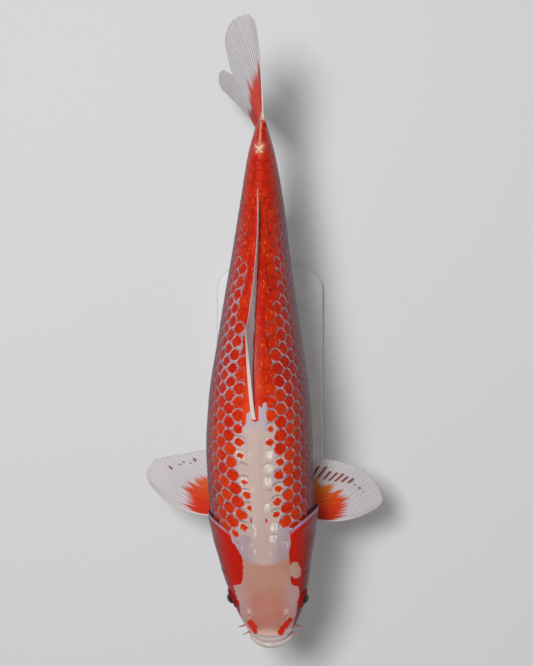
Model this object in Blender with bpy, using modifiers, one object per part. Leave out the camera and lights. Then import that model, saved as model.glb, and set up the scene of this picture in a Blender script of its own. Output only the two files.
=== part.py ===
# Koi carp, life size, as a still model held over a plain display stand.
# Metres, +Z up. The head points to -Y, the tail to +Y, and the origin is the middle of the stand's underside.
# A "station" is a distance along the fish from the front of its lips, and an "angle" runs round the body:
# 0 is the +X flank, 90 the back, 180 the -X flank and -90 the belly.

from math import cos, pi, radians, sin

import bmesh
import bpy
import numpy as np
from mathutils import Matrix, Vector

# Driving dimensions
AXIS_HEIGHT = 0.165  # the body's long axis above the floor
BALANCE = 0.232  # station over the middle of the stand
NOSE = 0.0045  # station of the snout's tip, just behind the front of the lips
BODY_END = 0.492  # station of the tail fin's root
STEM_START = 0.405  # station where the trunk ends and the tail stem starts
GAP = 0.0003  # clearance that separate pieces keep
ROOT_DEPTH = 0.004  # how far a fin is first drawn under the skin, before it is cut back

# The body's outline: station, half width, back above the axis, belly against the axis
OUTLINE = (
    (NOSE, 0.0, -0.0095, -0.0095),
    (0.0100, 0.0145, 0.0010, -0.0200),
    (0.0200, 0.0222, 0.0105, -0.0268),
    (0.0480, 0.0345, 0.0262, -0.0385),
    (0.0860, 0.0436, 0.0425, -0.0502),
    (0.1250, 0.0492, 0.0545, -0.0595),
    (0.1900, 0.0503, 0.0665, -0.0690),
    (0.2350, 0.0480, 0.0700, -0.0710),
    (0.3000, 0.0386, 0.0645, -0.0675),
    (0.3700, 0.0278, 0.0510, -0.0535),
    (0.4330, 0.0189, 0.0365, -0.0365),
    (0.4680, 0.0128, 0.0315, -0.0308),
    (BODY_END, 0.0060, 0.0325, -0.0320),
)
# How the body swings sideways as it swims: station, shift towards +X
SWING = (
    (0.0, 0.0104),
    (0.0480, 0.0080),
    (0.0830, 0.0050),
    (0.1300, 0.0022),
    (0.2000, -0.0008),
    (0.3300, 0.0),
    (0.4300, 0.0018),
    (BODY_END, 0.0012),
)
# Height of the widest line and fullness of the section (2 is an ellipse): station, height, fullness
SECTION = (
    (0.0, -0.0095, 2.15),
    (0.050, -0.0030, 2.35),
    (0.130, -0.0070, 2.30),
    (0.220, -0.0080, 2.20),
    (BODY_END, 0.0, 2.0),
)

# Border between head and trunk, by where it crosses the back, the flanks and the belly
NAPE_STATION = 0.084
FLANK_STATION = 0.122
THROAT_STATION = 0.104
SIDES = {"left": 1, "right": -1}
RINGS = {"head": 14, "trunk": 15, "tail_stem": 6, "cut_body": 45}
SEGMENTS = 32

# Gill covers: the angles of their ends, the front edge there and half-way between, the rear edge's reach
GILL = {
    "top": 62.0,
    "bottom": -68.0,
    "front": (0.0865, 0.0800),
    "ends": 0.104,
    "rear": {"left": 0.1335, "right": 0.1290},
    "lift": 0.0004,
    "flare": {"left": 0.0034, "right": 0.0016},
    "thickness": 0.0024,
}
GILL_ROWS, GILL_COLUMNS = 13, 8
CHEEK_RADIUS = 0.05  # turns a clearance into an angle at the gill cover's ends

EYE = {"station": 0.0500, "reach": 0.0385, "height": 0.0050, "radius": 0.0066}

# Each lip is a bow round the snout: its centre height and radius at the middle and at the mouth's corners
LIP_BOW = {"half_width": 0.0205, "front": 0.0033, "depth": 0.0135, "corner": 76.0}
LIPS = {
    "upper_lip": {"height": (-0.0062, -0.0128), "radius": (0.0031, 0.0015)},
    "lower_lip": {"height": (-0.0126, -0.0160), "radius": (0.0028, 0.0014)},
}

# Barbels: root (half spread, station, height), length, pitch below level, turn to the front, root radius
BARBELS = {
    "upper_barbel": {
        "root": (0.0188, 0.0165, -0.0070),
        "length": 0.011,
        "droop": 28.0,
        "forward": 22.0,
        "radius": 0.0008,
    },
    "lower_barbel": {
        "root": (0.0206, 0.0215, -0.0165),
        "length": 0.017,
        "droop": 42.0,
        "forward": 8.0,
        "radius": 0.0011,
    },
}

# Fins. "root" is two body places (station, angle). A ray leaves the root along "rise", turned towards the
# tail by "turn" degrees, and curls on by "curl". "length" and "sway" run from the first ray to the last.
# Sway shifts the ray's end sideways on an upright fin, and up or down on a paired one.
DORSAL = {
    "root": ((0.2150, 90.0), (0.4020, 90.0)),
    "rise": (-0.087, 0.0, 1.0),
    "turn": (58.0, 64.0),
    "curl": (8.0, 8.0),
    "length": (0.085, 0.063, 0.050, 0.042, 0.037, 0.034, 0.032),
    "sway": (-0.0015, -0.0010, 0.0),
}
ANAL = {
    "root": ((0.3720, -90.0), (0.4030, -90.0)),
    "rise": (-0.10, 0.0, -1.0),
    "turn": (42.0, 58.0),
    "curl": (12.0, 12.0),
    "length": (0.062, 0.056, 0.046, 0.036),
    "sway": (-0.0030, -0.0060, -0.0040),
}
PECTORALS = {
    "pectoral_fin_right": {
        "root": ((0.1245, 230.0), (0.1365, 237.0)),
        "rise": (-1.0, 0.0, -0.20),
        "turn": (-23.0, -13.0, -1.0, 11.0, 26.0, 48.0),
        "curl": (76.0, 20.0),
        "length": (0.089, 0.097, 0.092, 0.081, 0.068, 0.054),
        "sway": (-0.0010, -0.0060, -0.0050),
    },
    "pectoral_fin_left": {
        "root": ((0.1250, -50.0), (0.1370, -57.0)),
        "rise": (1.0, 0.0, -0.20),
        "turn": (-33.0, -25.0, -11.0, 5.5, 23.0, 50.0),
        "curl": (70.0, 20.0),
        "length": (0.080, 0.086, 0.083, 0.0735, 0.060, 0.042),
        "sway": (-0.0010, -0.0060, -0.0050),
    },
}
PELVICS = {
    "pelvic_fin_right": {
        "root": ((0.2200, 248.0), (0.2320, 240.0)),
        "rise": (-1.0, 0.0, -0.75),
        "turn": (56.0, 78.0),
        "curl": (14.0, 14.0),
        "length": (0.058, 0.060, 0.052, 0.040),
        "sway": (-0.0020, -0.0040, -0.0020),
    },
    "pelvic_fin_left": {
        "root": ((0.2200, -68.0), (0.2320, -60.0)),
        "rise": (1.0, 0.0, -0.75),
        "turn": (56.0, 78.0),
        "curl": (14.0, 14.0),
        "length": (0.058, 0.060, 0.052, 0.040),
        "sway": (-0.0020, -0.0040, -0.0020),
    },
}
# The tail fin opens from the upright end of the stem. Its two lobes meet at the fork.
TAIL_FIN = {
    "root_height": (0.0290, -0.0290),
    "root_shift": (0.0038, -0.0030),
    "pitch": (19.0, 17.0, 12.0, 3.0, -8.0, -18.0, -28.0, -38.0, -46.0),
    "length": (0.095, 0.101, 0.096, 0.078, 0.0535, 0.064, 0.068, 0.073, 0.077),
    "sway": (-0.0052, -0.0122, -0.0260, -0.0340, -0.0290, -0.0390, -0.0435, -0.0445, -0.0420),
    "bend": (3.2, 2.4, 1.8, 1.5, 1.3, 1.2, 1.2, 1.2, 1.2),
    "curl": 6.0,
    "fork": 0.5,
    "slit": 0.006,
}
SWAY_BEND = 1.5
FIN_RAYS, FIN_STEPS = 12, 8
FIN_THICKNESS = 0.0024  # at the root
FIN_EDGE = 0.4  # share of that thickness left at the edge

# The display stand
BASE_SIZE = (0.110, 0.270, 0.014)
BASE_CORNER = 0.024
BASE_EDGE = 0.0015
ROD_STATIONS = {"front": 0.165, "rear": 0.305}
ROD_RADIUS = 0.004
COLLAR = {"radius": 0.010, "height": 0.004}
CUP = {"radius": 0.0095, "depth": 0.0050}

SKIN_RED = (0.62, 0.06, 0.02)
SKIN_WHITE = (0.74, 0.64, 0.58)
FIN_WHITE = (0.66, 0.62, 0.62)
LIP_WHITE = (0.72, 0.62, 0.58)


def clear_scene():
    for obj in list(bpy.data.objects):
        bpy.data.objects.remove(obj)


def new_collection(name):
    collection = bpy.data.collections.new(name)
    bpy.context.scene.collection.children.link(collection)
    return collection


def material(name, colour, roughness, metallic=0.0):
    """A Principled surface with one colour."""
    made = bpy.data.materials.new(name)
    made.use_nodes = True
    shader = made.node_tree.nodes["Principled BSDF"]
    shader.inputs["Base Color"].default_value = (*colour, 1.0)
    shader.inputs["Roughness"].default_value = roughness
    shader.inputs["Metallic"].default_value = metallic
    return made


def place(name, mesh, collection, surface=None):
    obj = bpy.data.objects.new(name, mesh)
    collection.objects.link(obj)
    if surface is not None:
        mesh.materials.append(surface)
    return obj


def as_cutter(obj):
    obj.hide_render = True
    obj.display_type = "WIRE"
    return obj


def cut(obj, *cutters):
    """Takes the cutters' shapes out of obj."""
    for cutter in cutters:
        boolean = obj.modifiers.new("cut_" + cutter.name, "BOOLEAN")
        boolean.operation = "DIFFERENCE"
        boolean.solver = "EXACT"
        boolean.object = cutter


def smooth(table, column, at):
    """A cubic through one column of a table, which never overshoots between two of its rows."""
    x = np.array([row[0] for row in table])
    y = np.array([row[column] for row in table])
    step = np.diff(x)
    rise = np.diff(y) / step
    slope = np.concatenate([rise[:1], np.zeros(len(x) - 2), rise[-1:]])
    same = rise[:-1] * rise[1:] > 0
    slope[1:-1][same] = 2 * (rise[:-1] * rise[1:])[same] / (rise[:-1] + rise[1:])[same]
    at = np.clip(at, x[0], x[-1])
    i = np.clip(np.searchsorted(x, at) - 1, 0, len(step) - 1)
    t = (at - x[i]) / step[i]
    return (
        y[i] * (1 + 2 * t) * (1 - t) ** 2
        + y[i + 1] * (3 - 2 * t) * t**2
        + step[i] * (slope[i] * t * (1 - t) ** 2 + slope[i + 1] * t**2 * (t - 1))
    )


def spread(values, share):
    """Values given at equal steps from share 0 to share 1, read smoothly at any share."""
    rows = list(zip(np.linspace(0, 1, len(values)), values))
    return smooth(rows, 1, np.asarray(share, float))


def outline(station):
    """Half width, back and belly at a station.

    They follow the square root of the distance to the nose, which makes the snout round.
    """
    root = [(np.sqrt(row[0] - NOSE), *row[1:]) for row in OUTLINE]
    at = np.sqrt(np.maximum(station - NOSE, 0.0))
    return [smooth(root, column, at) for column in (1, 2, 3)]


def body_points(station, angle, grow=0.0):
    """Points of the skin at stations and angles (degrees), or of a skin that much further out."""
    station, angle = np.broadcast_arrays(np.asarray(station, float), np.radians(angle))
    half, back, belly = outline(station)
    level, fullness = smooth(SECTION, 1, station), smooth(SECTION, 2, station)
    side, up = np.cos(angle), np.sin(angle)
    height = np.where(up > 0, back - level, level - belly) + grow
    x = smooth(SWING, 1, station) + (half + grow) * np.sign(side) * np.abs(side) ** (2 / fullness)
    z = AXIS_HEIGHT + level + height * np.sign(up) * np.abs(up) ** (2 / fullness)
    return np.stack([x, station - BALANCE, z], axis=-1)


def border(angle):
    """Station where the head meets the trunk, at an angle."""
    middle = np.where(np.sin(np.radians(angle)) > 0, NAPE_STATION, THROAT_STATION)
    return middle + (FLANK_STATION - middle) * np.abs(np.cos(np.radians(angle))) ** 1.2


def square_at(station):
    """A border that crosses the body squarely."""
    return lambda angle: np.full_like(angle, station)


def loft(name, rings, collection, surface=None, first_cap=None, last_cap=None):
    """One closed body through rings of points.

    An end is closed round its cap point, and a first ring with no cap point is a tip.
    """
    mesh = bpy.data.meshes.new(name)
    bm = bmesh.new()
    loops = [[bm.verts.new(p) for p in ring] for ring in rings[(first_cap is None) :]]
    start = bm.verts.new(rings[0][0] if first_cap is None else first_cap)
    end = bm.verts.new(last_cap)
    count = len(rings[0])
    for k in range(count):
        after = (k + 1) % count
        bm.faces.new((start, loops[0][after], loops[0][k]))
        bm.faces.new((end, loops[-1][k], loops[-1][after]))
        for low, high in zip(loops, loops[1:]):
            bm.faces.new((low[k], low[after], high[after], high[k]))
    bmesh.ops.recalc_face_normals(bm, faces=bm.faces)
    bm.to_mesh(mesh)
    bm.free()
    mesh.shade_smooth()
    mesh.set_sharp_from_angle(angle=radians(50))
    return place(name, mesh, collection, surface)


def cap_at(station):
    return (float(smooth(SWING, 1, station)), station - BALANCE, AXIS_HEIGHT)


def body_length(name, first, last, collection, surface=None, grow=0.0):
    """A length of the body between two borders, each a station or a function of the angle."""
    angles = np.arange(SEGMENTS) * 360.0 / SEGMENTS
    tip = first is None
    start = np.full(SEGMENTS, NOSE) if tip else np.broadcast_to(first(angles), angles.shape)
    end = np.broadcast_to(last(angles), angles.shape)
    steps = np.linspace(0, 1, RINGS[name])
    shares = steps**2 if tip else steps
    rings = [body_points(start + (end - start) * share, angles, grow) for share in shares]
    if tip:
        rings[0][:] = rings[0].mean(axis=0) - (0, grow, 0)
    first_cap = None if tip else cap_at(float(start.mean()))
    return loft(name, rings, collection, surface, first_cap, cap_at(float(end.mean())))


def surface_grid(name, points, collection, surface=None):
    """An open surface through a grid of points (rows, columns, 3)."""
    rows, columns = points.shape[:2]
    mesh = bpy.data.meshes.new(name)
    bm = bmesh.new()
    bmesh.ops.create_grid(bm, x_segments=columns - 1, y_segments=rows - 1, size=1.0)
    bm.verts.ensure_lookup_table()
    order = sorted(bm.verts, key=lambda v: (round(v.co.y, 5), round(v.co.x, 5)))
    for vertex, point in zip(order, points.reshape(-1, 3)):
        vertex.co = point
    bm.to_mesh(mesh)
    bm.free()
    mesh.shade_smooth()
    return place(name, mesh, collection, surface)


def gill_cover(name, word, collection, surface=None, grow=0.0):
    """A curved plate on the cheek whose rear edge stands off the body. grow makes it larger all round."""
    side = SIDES[word]
    margin = np.degrees(grow / CHEEK_RADIUS)
    angles = np.linspace(GILL["bottom"] - margin, GILL["top"] + margin, GILL_ROWS)
    middle, reach = (GILL["top"] + GILL["bottom"]) / 2, (GILL["top"] - GILL["bottom"]) / 2 + margin
    bulge = np.sqrt(np.maximum(1 - ((angles - middle) / reach) ** 2, 0.0))
    front = GILL["front"][0] + (GILL["front"][1] - GILL["front"][0]) * bulge - grow
    rear = GILL["ends"] + grow + (GILL["rear"][word] - GILL["ends"]) * bulge
    share = np.linspace(0, 1, GILL_COLUMNS)[:, None]
    station = front + (rear - front) * share
    stand_off = GILL["lift"] + GILL["flare"][word] * share**2 * bulge + grow
    around = angles if side > 0 else 180.0 - angles
    points = body_points(station, np.broadcast_to(around, station.shape), stand_off)
    obj = surface_grid(name, points, collection, surface)
    shell = obj.modifiers.new("plate", "SOLIDIFY")
    shell.thickness = GILL["thickness"] + 2 * grow
    # The two sides run opposite ways round, so the plate is thickened inwards on both.
    shell.offset = side
    return obj


def eyeball(name, word, collection, surface=None, grow=0.0):
    side = SIDES[word]
    middle = float(smooth(SWING, 1, EYE["station"]))
    centre = (
        middle + side * (EYE["reach"] - EYE["radius"]),
        EYE["station"] - BALANCE,
        AXIS_HEIGHT + EYE["height"],
    )
    mesh = bpy.data.meshes.new(name)
    bm = bmesh.new()
    bmesh.ops.create_uvsphere(bm, u_segments=14, v_segments=8, radius=EYE["radius"] + grow)
    bmesh.ops.rotate(bm, verts=bm.verts, matrix=Matrix.Rotation(pi / 2, 3, "Y"))
    bm.to_mesh(mesh)
    bm.free()
    mesh.shade_smooth()
    obj = place(name, mesh, collection, surface)
    obj.location = centre
    return obj


def tube(name, points, radii, collection, surface=None):
    """A round, tapering tube along points, as a closed mesh."""
    curve = bpy.data.curves.new(name, "CURVE")
    curve.dimensions = "3D"
    curve.bevel_depth = 1.0
    curve.bevel_resolution = 2
    curve.use_fill_caps = True
    line = curve.splines.new("POLY")
    line.points.add(len(points) - 1)
    for knot, point, radius in zip(line.points, points, radii):
        knot.co = (*point, 1.0)
        knot.radius = radius
    guide = bpy.data.objects.new(name + "_guide", curve)
    collection.objects.link(guide)
    graph = bpy.context.evaluated_depsgraph_get()
    mesh = bpy.data.meshes.new_from_object(guide.evaluated_get(graph))
    bpy.data.objects.remove(guide)
    bm = bmesh.new()
    bm.from_mesh(mesh)
    bmesh.ops.remove_doubles(bm, verts=bm.verts, dist=0.00001)
    bmesh.ops.recalc_face_normals(bm, faces=bm.faces)
    bm.to_mesh(mesh)
    bm.free()
    mesh.shade_smooth()
    mesh.name = name
    return place(name, mesh, collection, surface)


def lip(name, collection, surface=None, grow=0.0):
    turn = np.radians(np.linspace(-LIP_BOW["corner"], LIP_BOW["corner"], 13))
    towards_corner = 1 - (np.cos(turn) - np.cos(turn[0])) / (1 - np.cos(turn[0]))
    height, radius = (LIPS[name.replace("cut_", "")][key] for key in ("height", "radius"))
    x = float(smooth(SWING, 1, 0.01)) + LIP_BOW["half_width"] * np.sin(turn)
    station = LIP_BOW["front"] + LIP_BOW["depth"] * (1 - np.cos(turn))
    z = AXIS_HEIGHT + height[0] + (height[1] - height[0]) * towards_corner
    radii = radius[0] + (radius[1] - radius[0]) * towards_corner + grow
    return tube(name, np.stack([x, station - BALANCE, z], axis=-1), radii, collection, surface)


def barbel(name, word, shape, collection, surface):
    """A short feeler that leaves the mouth's edge and droops more towards its tip."""
    side = SIDES[word]
    spread_out, station, height = shape["root"]
    across = float(smooth(SWING, 1, station)) + side * spread_out
    start = np.array([across, station - BALANCE, AXIS_HEIGHT + height])
    share = np.linspace(-0.25, 1, 7)
    droop = np.radians(shape["droop"] * (0.5 + share / 2))
    forward = radians(shape["forward"])
    level = np.cos(droop)
    along = np.stack([side * cos(forward) * level, -sin(forward) * level, -np.sin(droop)], axis=-1)
    points = start + along * (share * shape["length"])[:, None]
    return tube(name, points, shape["radius"] * (1 - 0.55 * np.clip(share, 0, 1)), collection, surface)


def fin_sheet(name, root, rise, back, turn, curl, length, sway, bend, collection, surface):
    """A fin as a thin plate: rays fan out from the root line, each curling on as it runs to the edge.

    A ray's sideways sway grows with its run to the power of bend.
    """
    rise, back = rise / np.linalg.norm(rise), back / np.linalg.norm(back)
    aside = np.array([1.0, 0.0, 0.0]) if abs(rise[0]) < 0.5 else np.array([0.0, 0.0, 1.0])
    run = np.linspace(0, 1, FIN_STEPS)[:, None]
    aim = np.radians(turn)[None, :] + np.radians(curl) * run / 2
    rays = np.cos(aim)[..., None] * rise + np.sin(aim)[..., None] * back
    points = root[None] + rays * (length[None] * run)[..., None] + (sway * run**bend)[..., None] * aside
    obj = surface_grid(name, points, collection, surface)
    thickness = obj.vertex_groups.new(name="thickness")
    per_row = points.shape[1]
    heights = [(v.index, v.co.copy()) for v in obj.data.vertices]
    flat = points.reshape(-1, 3)
    for index, place_of in heights:
        nearest = int(np.argmin(np.abs(flat - np.array(place_of)).sum(axis=1)))
        thickness.add([index], 1 - (1 - FIN_EDGE) * (nearest // per_row) / (FIN_STEPS - 1), "REPLACE")
    plate = obj.modifiers.new("plate", "SOLIDIFY")
    plate.thickness = FIN_THICKNESS
    plate.offset = 0.0
    plate.vertex_group = thickness.name
    return obj


def body_fin(name, shape, collection, surface):
    """A fin whose root lies on the body."""
    share = np.linspace(0, 1, FIN_RAYS)
    (first, first_angle), (last, last_angle) = shape["root"]
    angle = first_angle + (last_angle - first_angle) * share
    root = body_points(first + (last - first) * share, angle, -ROOT_DEPTH)
    return fin_sheet(
        name,
        root,
        np.array(shape["rise"]),
        np.array([0.0, 1.0, 0.0]),
        spread(shape["turn"], share),
        spread(shape["curl"], share),
        spread(shape["length"], share),
        spread(shape["sway"], share),
        SWAY_BEND,
        collection,
        surface,
    )


def tail_lobe(name, low, high, collection, surface):
    """The tail fin's rays from share low to share high, counted from its upper edge."""
    share = np.linspace(low, high, FIN_RAYS)
    across = float(smooth(SWING, 1, BODY_END)) + spread(TAIL_FIN["root_shift"], share)
    along = np.full(FIN_RAYS, BODY_END - ROOT_DEPTH - BALANCE)
    root = np.stack([across, along, AXIS_HEIGHT + spread(TAIL_FIN["root_height"], share)], axis=-1)
    pitch = spread(TAIL_FIN["pitch"], share)
    return fin_sheet(
        name,
        root,
        np.array([0.0, 1.0, 0.0]),
        np.array([0.0, 0.0, -1.0]),
        -pitch,
        -TAIL_FIN["curl"] if high < TAIL_FIN["fork"] else TAIL_FIN["curl"],
        spread(TAIL_FIN["length"], share) + ROOT_DEPTH,
        spread(TAIL_FIN["sway"], share),
        spread(TAIL_FIN["bend"], share),
        collection,
        surface,
    )


def stand_base(collection, surface):
    """A flat plate with round corners and softened edges."""
    mesh = bpy.data.meshes.new("stand_base")
    bm = bmesh.new()
    bmesh.ops.create_cube(bm, size=1.0)
    bmesh.ops.scale(bm, vec=BASE_SIZE, verts=bm.verts)
    bmesh.ops.translate(bm, vec=(0, 0, BASE_SIZE[2] / 2), verts=bm.verts)
    upright = [e for e in bm.edges if abs(e.verts[0].co.z - e.verts[1].co.z) > BASE_SIZE[2] / 2]
    bmesh.ops.bevel(bm, geom=upright, offset=BASE_CORNER, segments=8, profile=0.5, affect="EDGES")
    bm.to_mesh(mesh)
    bm.free()
    obj = place("stand_base", mesh, collection, surface)
    edge = obj.modifiers.new("edge", "BEVEL")
    edge.width = BASE_EDGE
    edge.segments = 2
    edge.limit_method = "ANGLE"
    edge.angle_limit = radians(60)
    return obj


def upright_disc(name, radius, bottom, top, station, collection, surface, segments=24):
    """An upright cylinder on the stand's middle line."""
    mesh = bpy.data.meshes.new(name)
    bm = bmesh.new()
    bmesh.ops.create_cone(
        bm, cap_ends=True, segments=segments, radius1=radius, radius2=radius, depth=top - bottom
    )
    bm.to_mesh(mesh)
    bm.free()
    mesh.shade_smooth()
    mesh.set_sharp_from_angle(angle=radians(50))
    obj = place(name, mesh, collection, surface)
    obj.location = (float(smooth(SWING, 1, station)), station - BALANCE, (bottom + top) / 2)
    return obj


def stand_support(end, station, collection, steel, felt, body_cutter):
    """One rod with its collar on the base and the cup that the belly rests in."""
    belly = AXIS_HEIGHT + float(outline(np.array(station))[2])
    base_top = BASE_SIZE[2] + GAP
    collar_top = base_top + COLLAR["height"]
    cup_bottom = belly - CUP["depth"]
    cup_top = belly + CUP["depth"]
    on_rod = (station, collection)
    upright_disc("stand_collar_" + end, COLLAR["radius"], base_top, collar_top, *on_rod, steel)
    upright_disc("stand_rod_" + end, ROD_RADIUS, collar_top + GAP, cup_bottom - GAP, *on_rod, steel, 16)
    cup = upright_disc("stand_cup_" + end, CUP["radius"], cup_bottom, cup_top, *on_rod, felt)
    cut(cup, body_cutter)


def build_body(parts, cutters, red, white, pale):
    """Head, trunk and tail stem, with gill covers, eyes and lips let into them."""
    head = body_length("head", None, border, parts, white)
    trunk = body_length("trunk", lambda a: border(a) + GAP, square_at(STEM_START), parts, red)
    body_length("tail_stem", square_at(STEM_START + GAP), square_at(BODY_END), parts, red)
    dark = material("eye_dark", (0.05, 0.03, 0.02), 0.1)
    for word in SIDES:
        gill_cover("gill_cover_" + word, word, parts, red)
        gill_cutter = as_cutter(gill_cover("cut_gill_" + word, word, cutters, grow=GAP))
        cut(head, gill_cutter)
        cut(trunk, gill_cutter)
        eyeball("eye_" + word, word, parts, dark)
        cut(head, as_cutter(eyeball("cut_eye_" + word, word, cutters, grow=GAP)))
    for name in LIPS:
        lip(name, parts, pale)
        cut(head, as_cutter(lip("cut_" + name, cutters, grow=GAP)))


def build_fins(parts, body_cutter, pale):
    for name, shape in {"dorsal_fin": DORSAL, "anal_fin": ANAL, **PECTORALS, **PELVICS}.items():
        fin = body_fin(name, shape, parts, pale)
        cut(fin, body_cutter)
        if name in PECTORALS:
            cut(fin, bpy.data.objects[name.replace("pectoral_fin", "cut_gill")])
    slit = TAIL_FIN["slit"] / 2
    cut(tail_lobe("tail_fin_upper_lobe", 0.0, TAIL_FIN["fork"] - slit, parts, pale), body_cutter)
    cut(tail_lobe("tail_fin_lower_lobe", TAIL_FIN["fork"] + slit, 1.0, parts, pale), body_cutter)


def build_barbels(parts, body_cutter, pale):
    for name, shape in BARBELS.items():
        for word in SIDES:
            feeler = barbel(f"{name}_{word}", word, shape, parts, pale)
            cut(feeler, body_cutter, *(bpy.data.objects["cut_" + lip_name] for lip_name in LIPS))


def main():
    clear_scene()
    parts = new_collection("koi_carp")
    cutters = new_collection("cutters")
    red = material("skin_red", SKIN_RED, 0.4)
    white = material("skin_white", SKIN_WHITE, 0.4)
    pale = material("fin_white", FIN_WHITE, 0.45)
    lips = material("lip_white", LIP_WHITE, 0.4)
    steel = material("brushed_steel", (0.55, 0.55, 0.56), 0.3, 1.0)
    felt = material("grey_pad", (0.25, 0.25, 0.26), 0.8)
    painted = material("pale_paint", (0.72, 0.73, 0.74), 0.45)

    body_cutter = as_cutter(body_length("cut_body", None, square_at(BODY_END + GAP), cutters, grow=GAP))
    build_body(parts, cutters, red, white, lips)
    build_fins(parts, body_cutter, pale)
    build_barbels(parts, body_cutter, white)
    stand_base(parts, painted)
    for end, station in ROD_STATIONS.items():
        stand_support(end, station, parts, steel, felt, body_cutter)


main()
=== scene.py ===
import math

import bmesh
import bpy
import numpy as np
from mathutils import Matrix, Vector


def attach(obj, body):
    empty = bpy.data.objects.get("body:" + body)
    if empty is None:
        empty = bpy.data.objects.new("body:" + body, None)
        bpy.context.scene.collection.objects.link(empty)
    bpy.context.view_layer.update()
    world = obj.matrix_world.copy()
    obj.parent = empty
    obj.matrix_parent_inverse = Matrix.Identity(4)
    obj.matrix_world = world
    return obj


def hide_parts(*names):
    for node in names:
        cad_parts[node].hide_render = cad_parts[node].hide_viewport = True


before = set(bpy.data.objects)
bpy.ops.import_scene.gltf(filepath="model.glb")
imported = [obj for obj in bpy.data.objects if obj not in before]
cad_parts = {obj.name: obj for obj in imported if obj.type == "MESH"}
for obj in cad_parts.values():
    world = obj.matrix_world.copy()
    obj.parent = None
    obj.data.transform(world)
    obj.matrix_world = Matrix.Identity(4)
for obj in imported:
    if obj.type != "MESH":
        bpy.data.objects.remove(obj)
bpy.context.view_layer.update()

# The whole fish, in metres. A station is a distance from the front of the lips towards the tail. An angle runs
# round the body: 0 is the +X flank, 90 the back, -90 the belly. Elevation is the same but folded onto one side.
body = {
    "axisHeight": 0.165,
    "balance": 0.232,
    "nose": 0.0045,
    "end": 0.492,
    "coatDepth": 0.0009,
    "twist": 0.0026,
    # station, half width, back above the axis, belly against the axis
    "outline": [
        (0.0045, 0.0, -0.0095, -0.0095),
        (0.0100, 0.0145, 0.0010, -0.0200),
        (0.0200, 0.0222, 0.0105, -0.0268),
        (0.0480, 0.0345, 0.0262, -0.0385),
        (0.0860, 0.0436, 0.0425, -0.0502),
        (0.1250, 0.0492, 0.0545, -0.0595),
        (0.1900, 0.0503, 0.0665, -0.0690),
        (0.2350, 0.0480, 0.0700, -0.0710),
        (0.3000, 0.0386, 0.0645, -0.0675),
        (0.3700, 0.0278, 0.0510, -0.0535),
        (0.4330, 0.0189, 0.0365, -0.0365),
        (0.4680, 0.0128, 0.0315, -0.0308),
        (0.4920, 0.0060, 0.0325, -0.0320),
        (0.5050, 0.0016, 0.0335, -0.0330),
    ],
    # station, sideways shift
    "swing": [
        (0, 0.0104), (0.048, 0.0080), (0.083, 0.0050), (0.13, 0.0022), (0.2, -0.0008), (0.33, 0),
        (0.43, 0.0018), (0.492, 0.0012),
    ],
    # station, height of the widest line, fullness (2 is an ellipse)
    "section": [
        (0, -0.0095, 2.15), (0.05, -0.0030, 2.35), (0.13, -0.0070, 2.30), (0.22, -0.0080, 2.20),
        (0.492, 0, 2.0),
    ],
}


def smoothRow(table, column, at):
    # a cubic through one column of a table, with slopes that never overshoot between two rows
    x = np.array([row[0] for row in table], float)
    y = np.array([row[column] for row in table], float)
    step = np.diff(x)
    rise = np.diff(y) / step
    slope = np.concatenate([rise[:1], np.zeros(len(x) - 2), rise[-1:]])
    same = rise[:-1] * rise[1:] > 0
    slope[1:-1][same] = 2 * (rise[:-1] * rise[1:])[same] / (rise[:-1] + rise[1:])[same]
    at = np.clip(at, x[0], x[-1])
    i = np.clip(np.searchsorted(x, at) - 1, 0, len(step) - 1)
    t = (at - x[i]) / step[i]
    ends = y[i] * (1 + 2 * t) * (1 - t) ** 2 + y[i + 1] * (3 - 2 * t) * t**2
    return ends + step[i] * (slope[i] * t * (1 - t) ** 2 + slope[i + 1] * t**2 * (t - 1))


def spread(values, share):
    # evenly spaced values, read at a share of the way from the first to the last
    return smoothRow(list(zip(np.linspace(0, 1, len(values)), values)), 1, np.asarray(share, float))


def ramp(low, high, value):
    # 0 below low, 1 above high, an S-curve between
    t = np.clip((value - low) / (high - low), 0, 1)
    return t * t * (3 - 2 * t)


def bump(value, width):
    # a bell of height 1
    return np.exp(-((value / width) ** 2))


def middleLine(station):
    # the body's sideways shift
    return smoothRow(body["swing"], 1, station)


def bodyPoint(station, angle):
    # a superellipse ring at each station: half width across, back and belly above and below the widest line
    station, angle = np.broadcast_arrays(np.asarray(station, float), np.radians(angle))
    rooted = [(math.sqrt(row[0] - body["nose"]), *row[1:]) for row in body["outline"]]
    at = np.sqrt(np.maximum(station - body["nose"], 0.0))
    half, back, belly = (smoothRow(rooted, column, at) for column in (1, 2, 3))
    level, fullness = smoothRow(body["section"], 1, station), smoothRow(body["section"], 2, station)
    side, up = np.cos(angle), np.sin(angle)
    height = np.where(up > 0, back - level, level - belly)
    x = middleLine(station) + half * np.sign(side) * np.abs(side) ** (2 / fullness)
    z = level + height * np.sign(up) * np.abs(up) ** (2 / fullness)
    # the end of the stem leans over with the tail fin
    x = x + body["twist"] * ramp(0.450, 0.495, station) * z / 0.03
    return np.stack([x, station - body["balance"], body["axisHeight"] + z], axis=-1)


def placeAt(station, aside, height):
    # a point in the frame from a station, a distance from the middle line and a height over the axis
    return np.array([middleLine(station) + aside, station - body["balance"], body["axisHeight"] + height])


def unit(vectors):
    return vectors / np.maximum(np.linalg.norm(vectors, axis=-1, keepdims=True), 1e-12)


def bodyNormal(station, angle):
    # outward: the cross product of the way round and the way along, each a small difference
    near = np.maximum(station, body["nose"] + 0.0004)
    along = bodyPoint(near + 0.0006, angle) - bodyPoint(near - 0.0003, angle)
    around = bodyPoint(near, angle + 0.4) - bodyPoint(near, angle - 0.4)
    return unit(np.cross(along, around))


def skinPoint(station, angle, lift):
    # a point this far off the body's surface
    return bodyPoint(station, angle) + bodyNormal(station, angle) * np.asarray(lift)[..., None]


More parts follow.
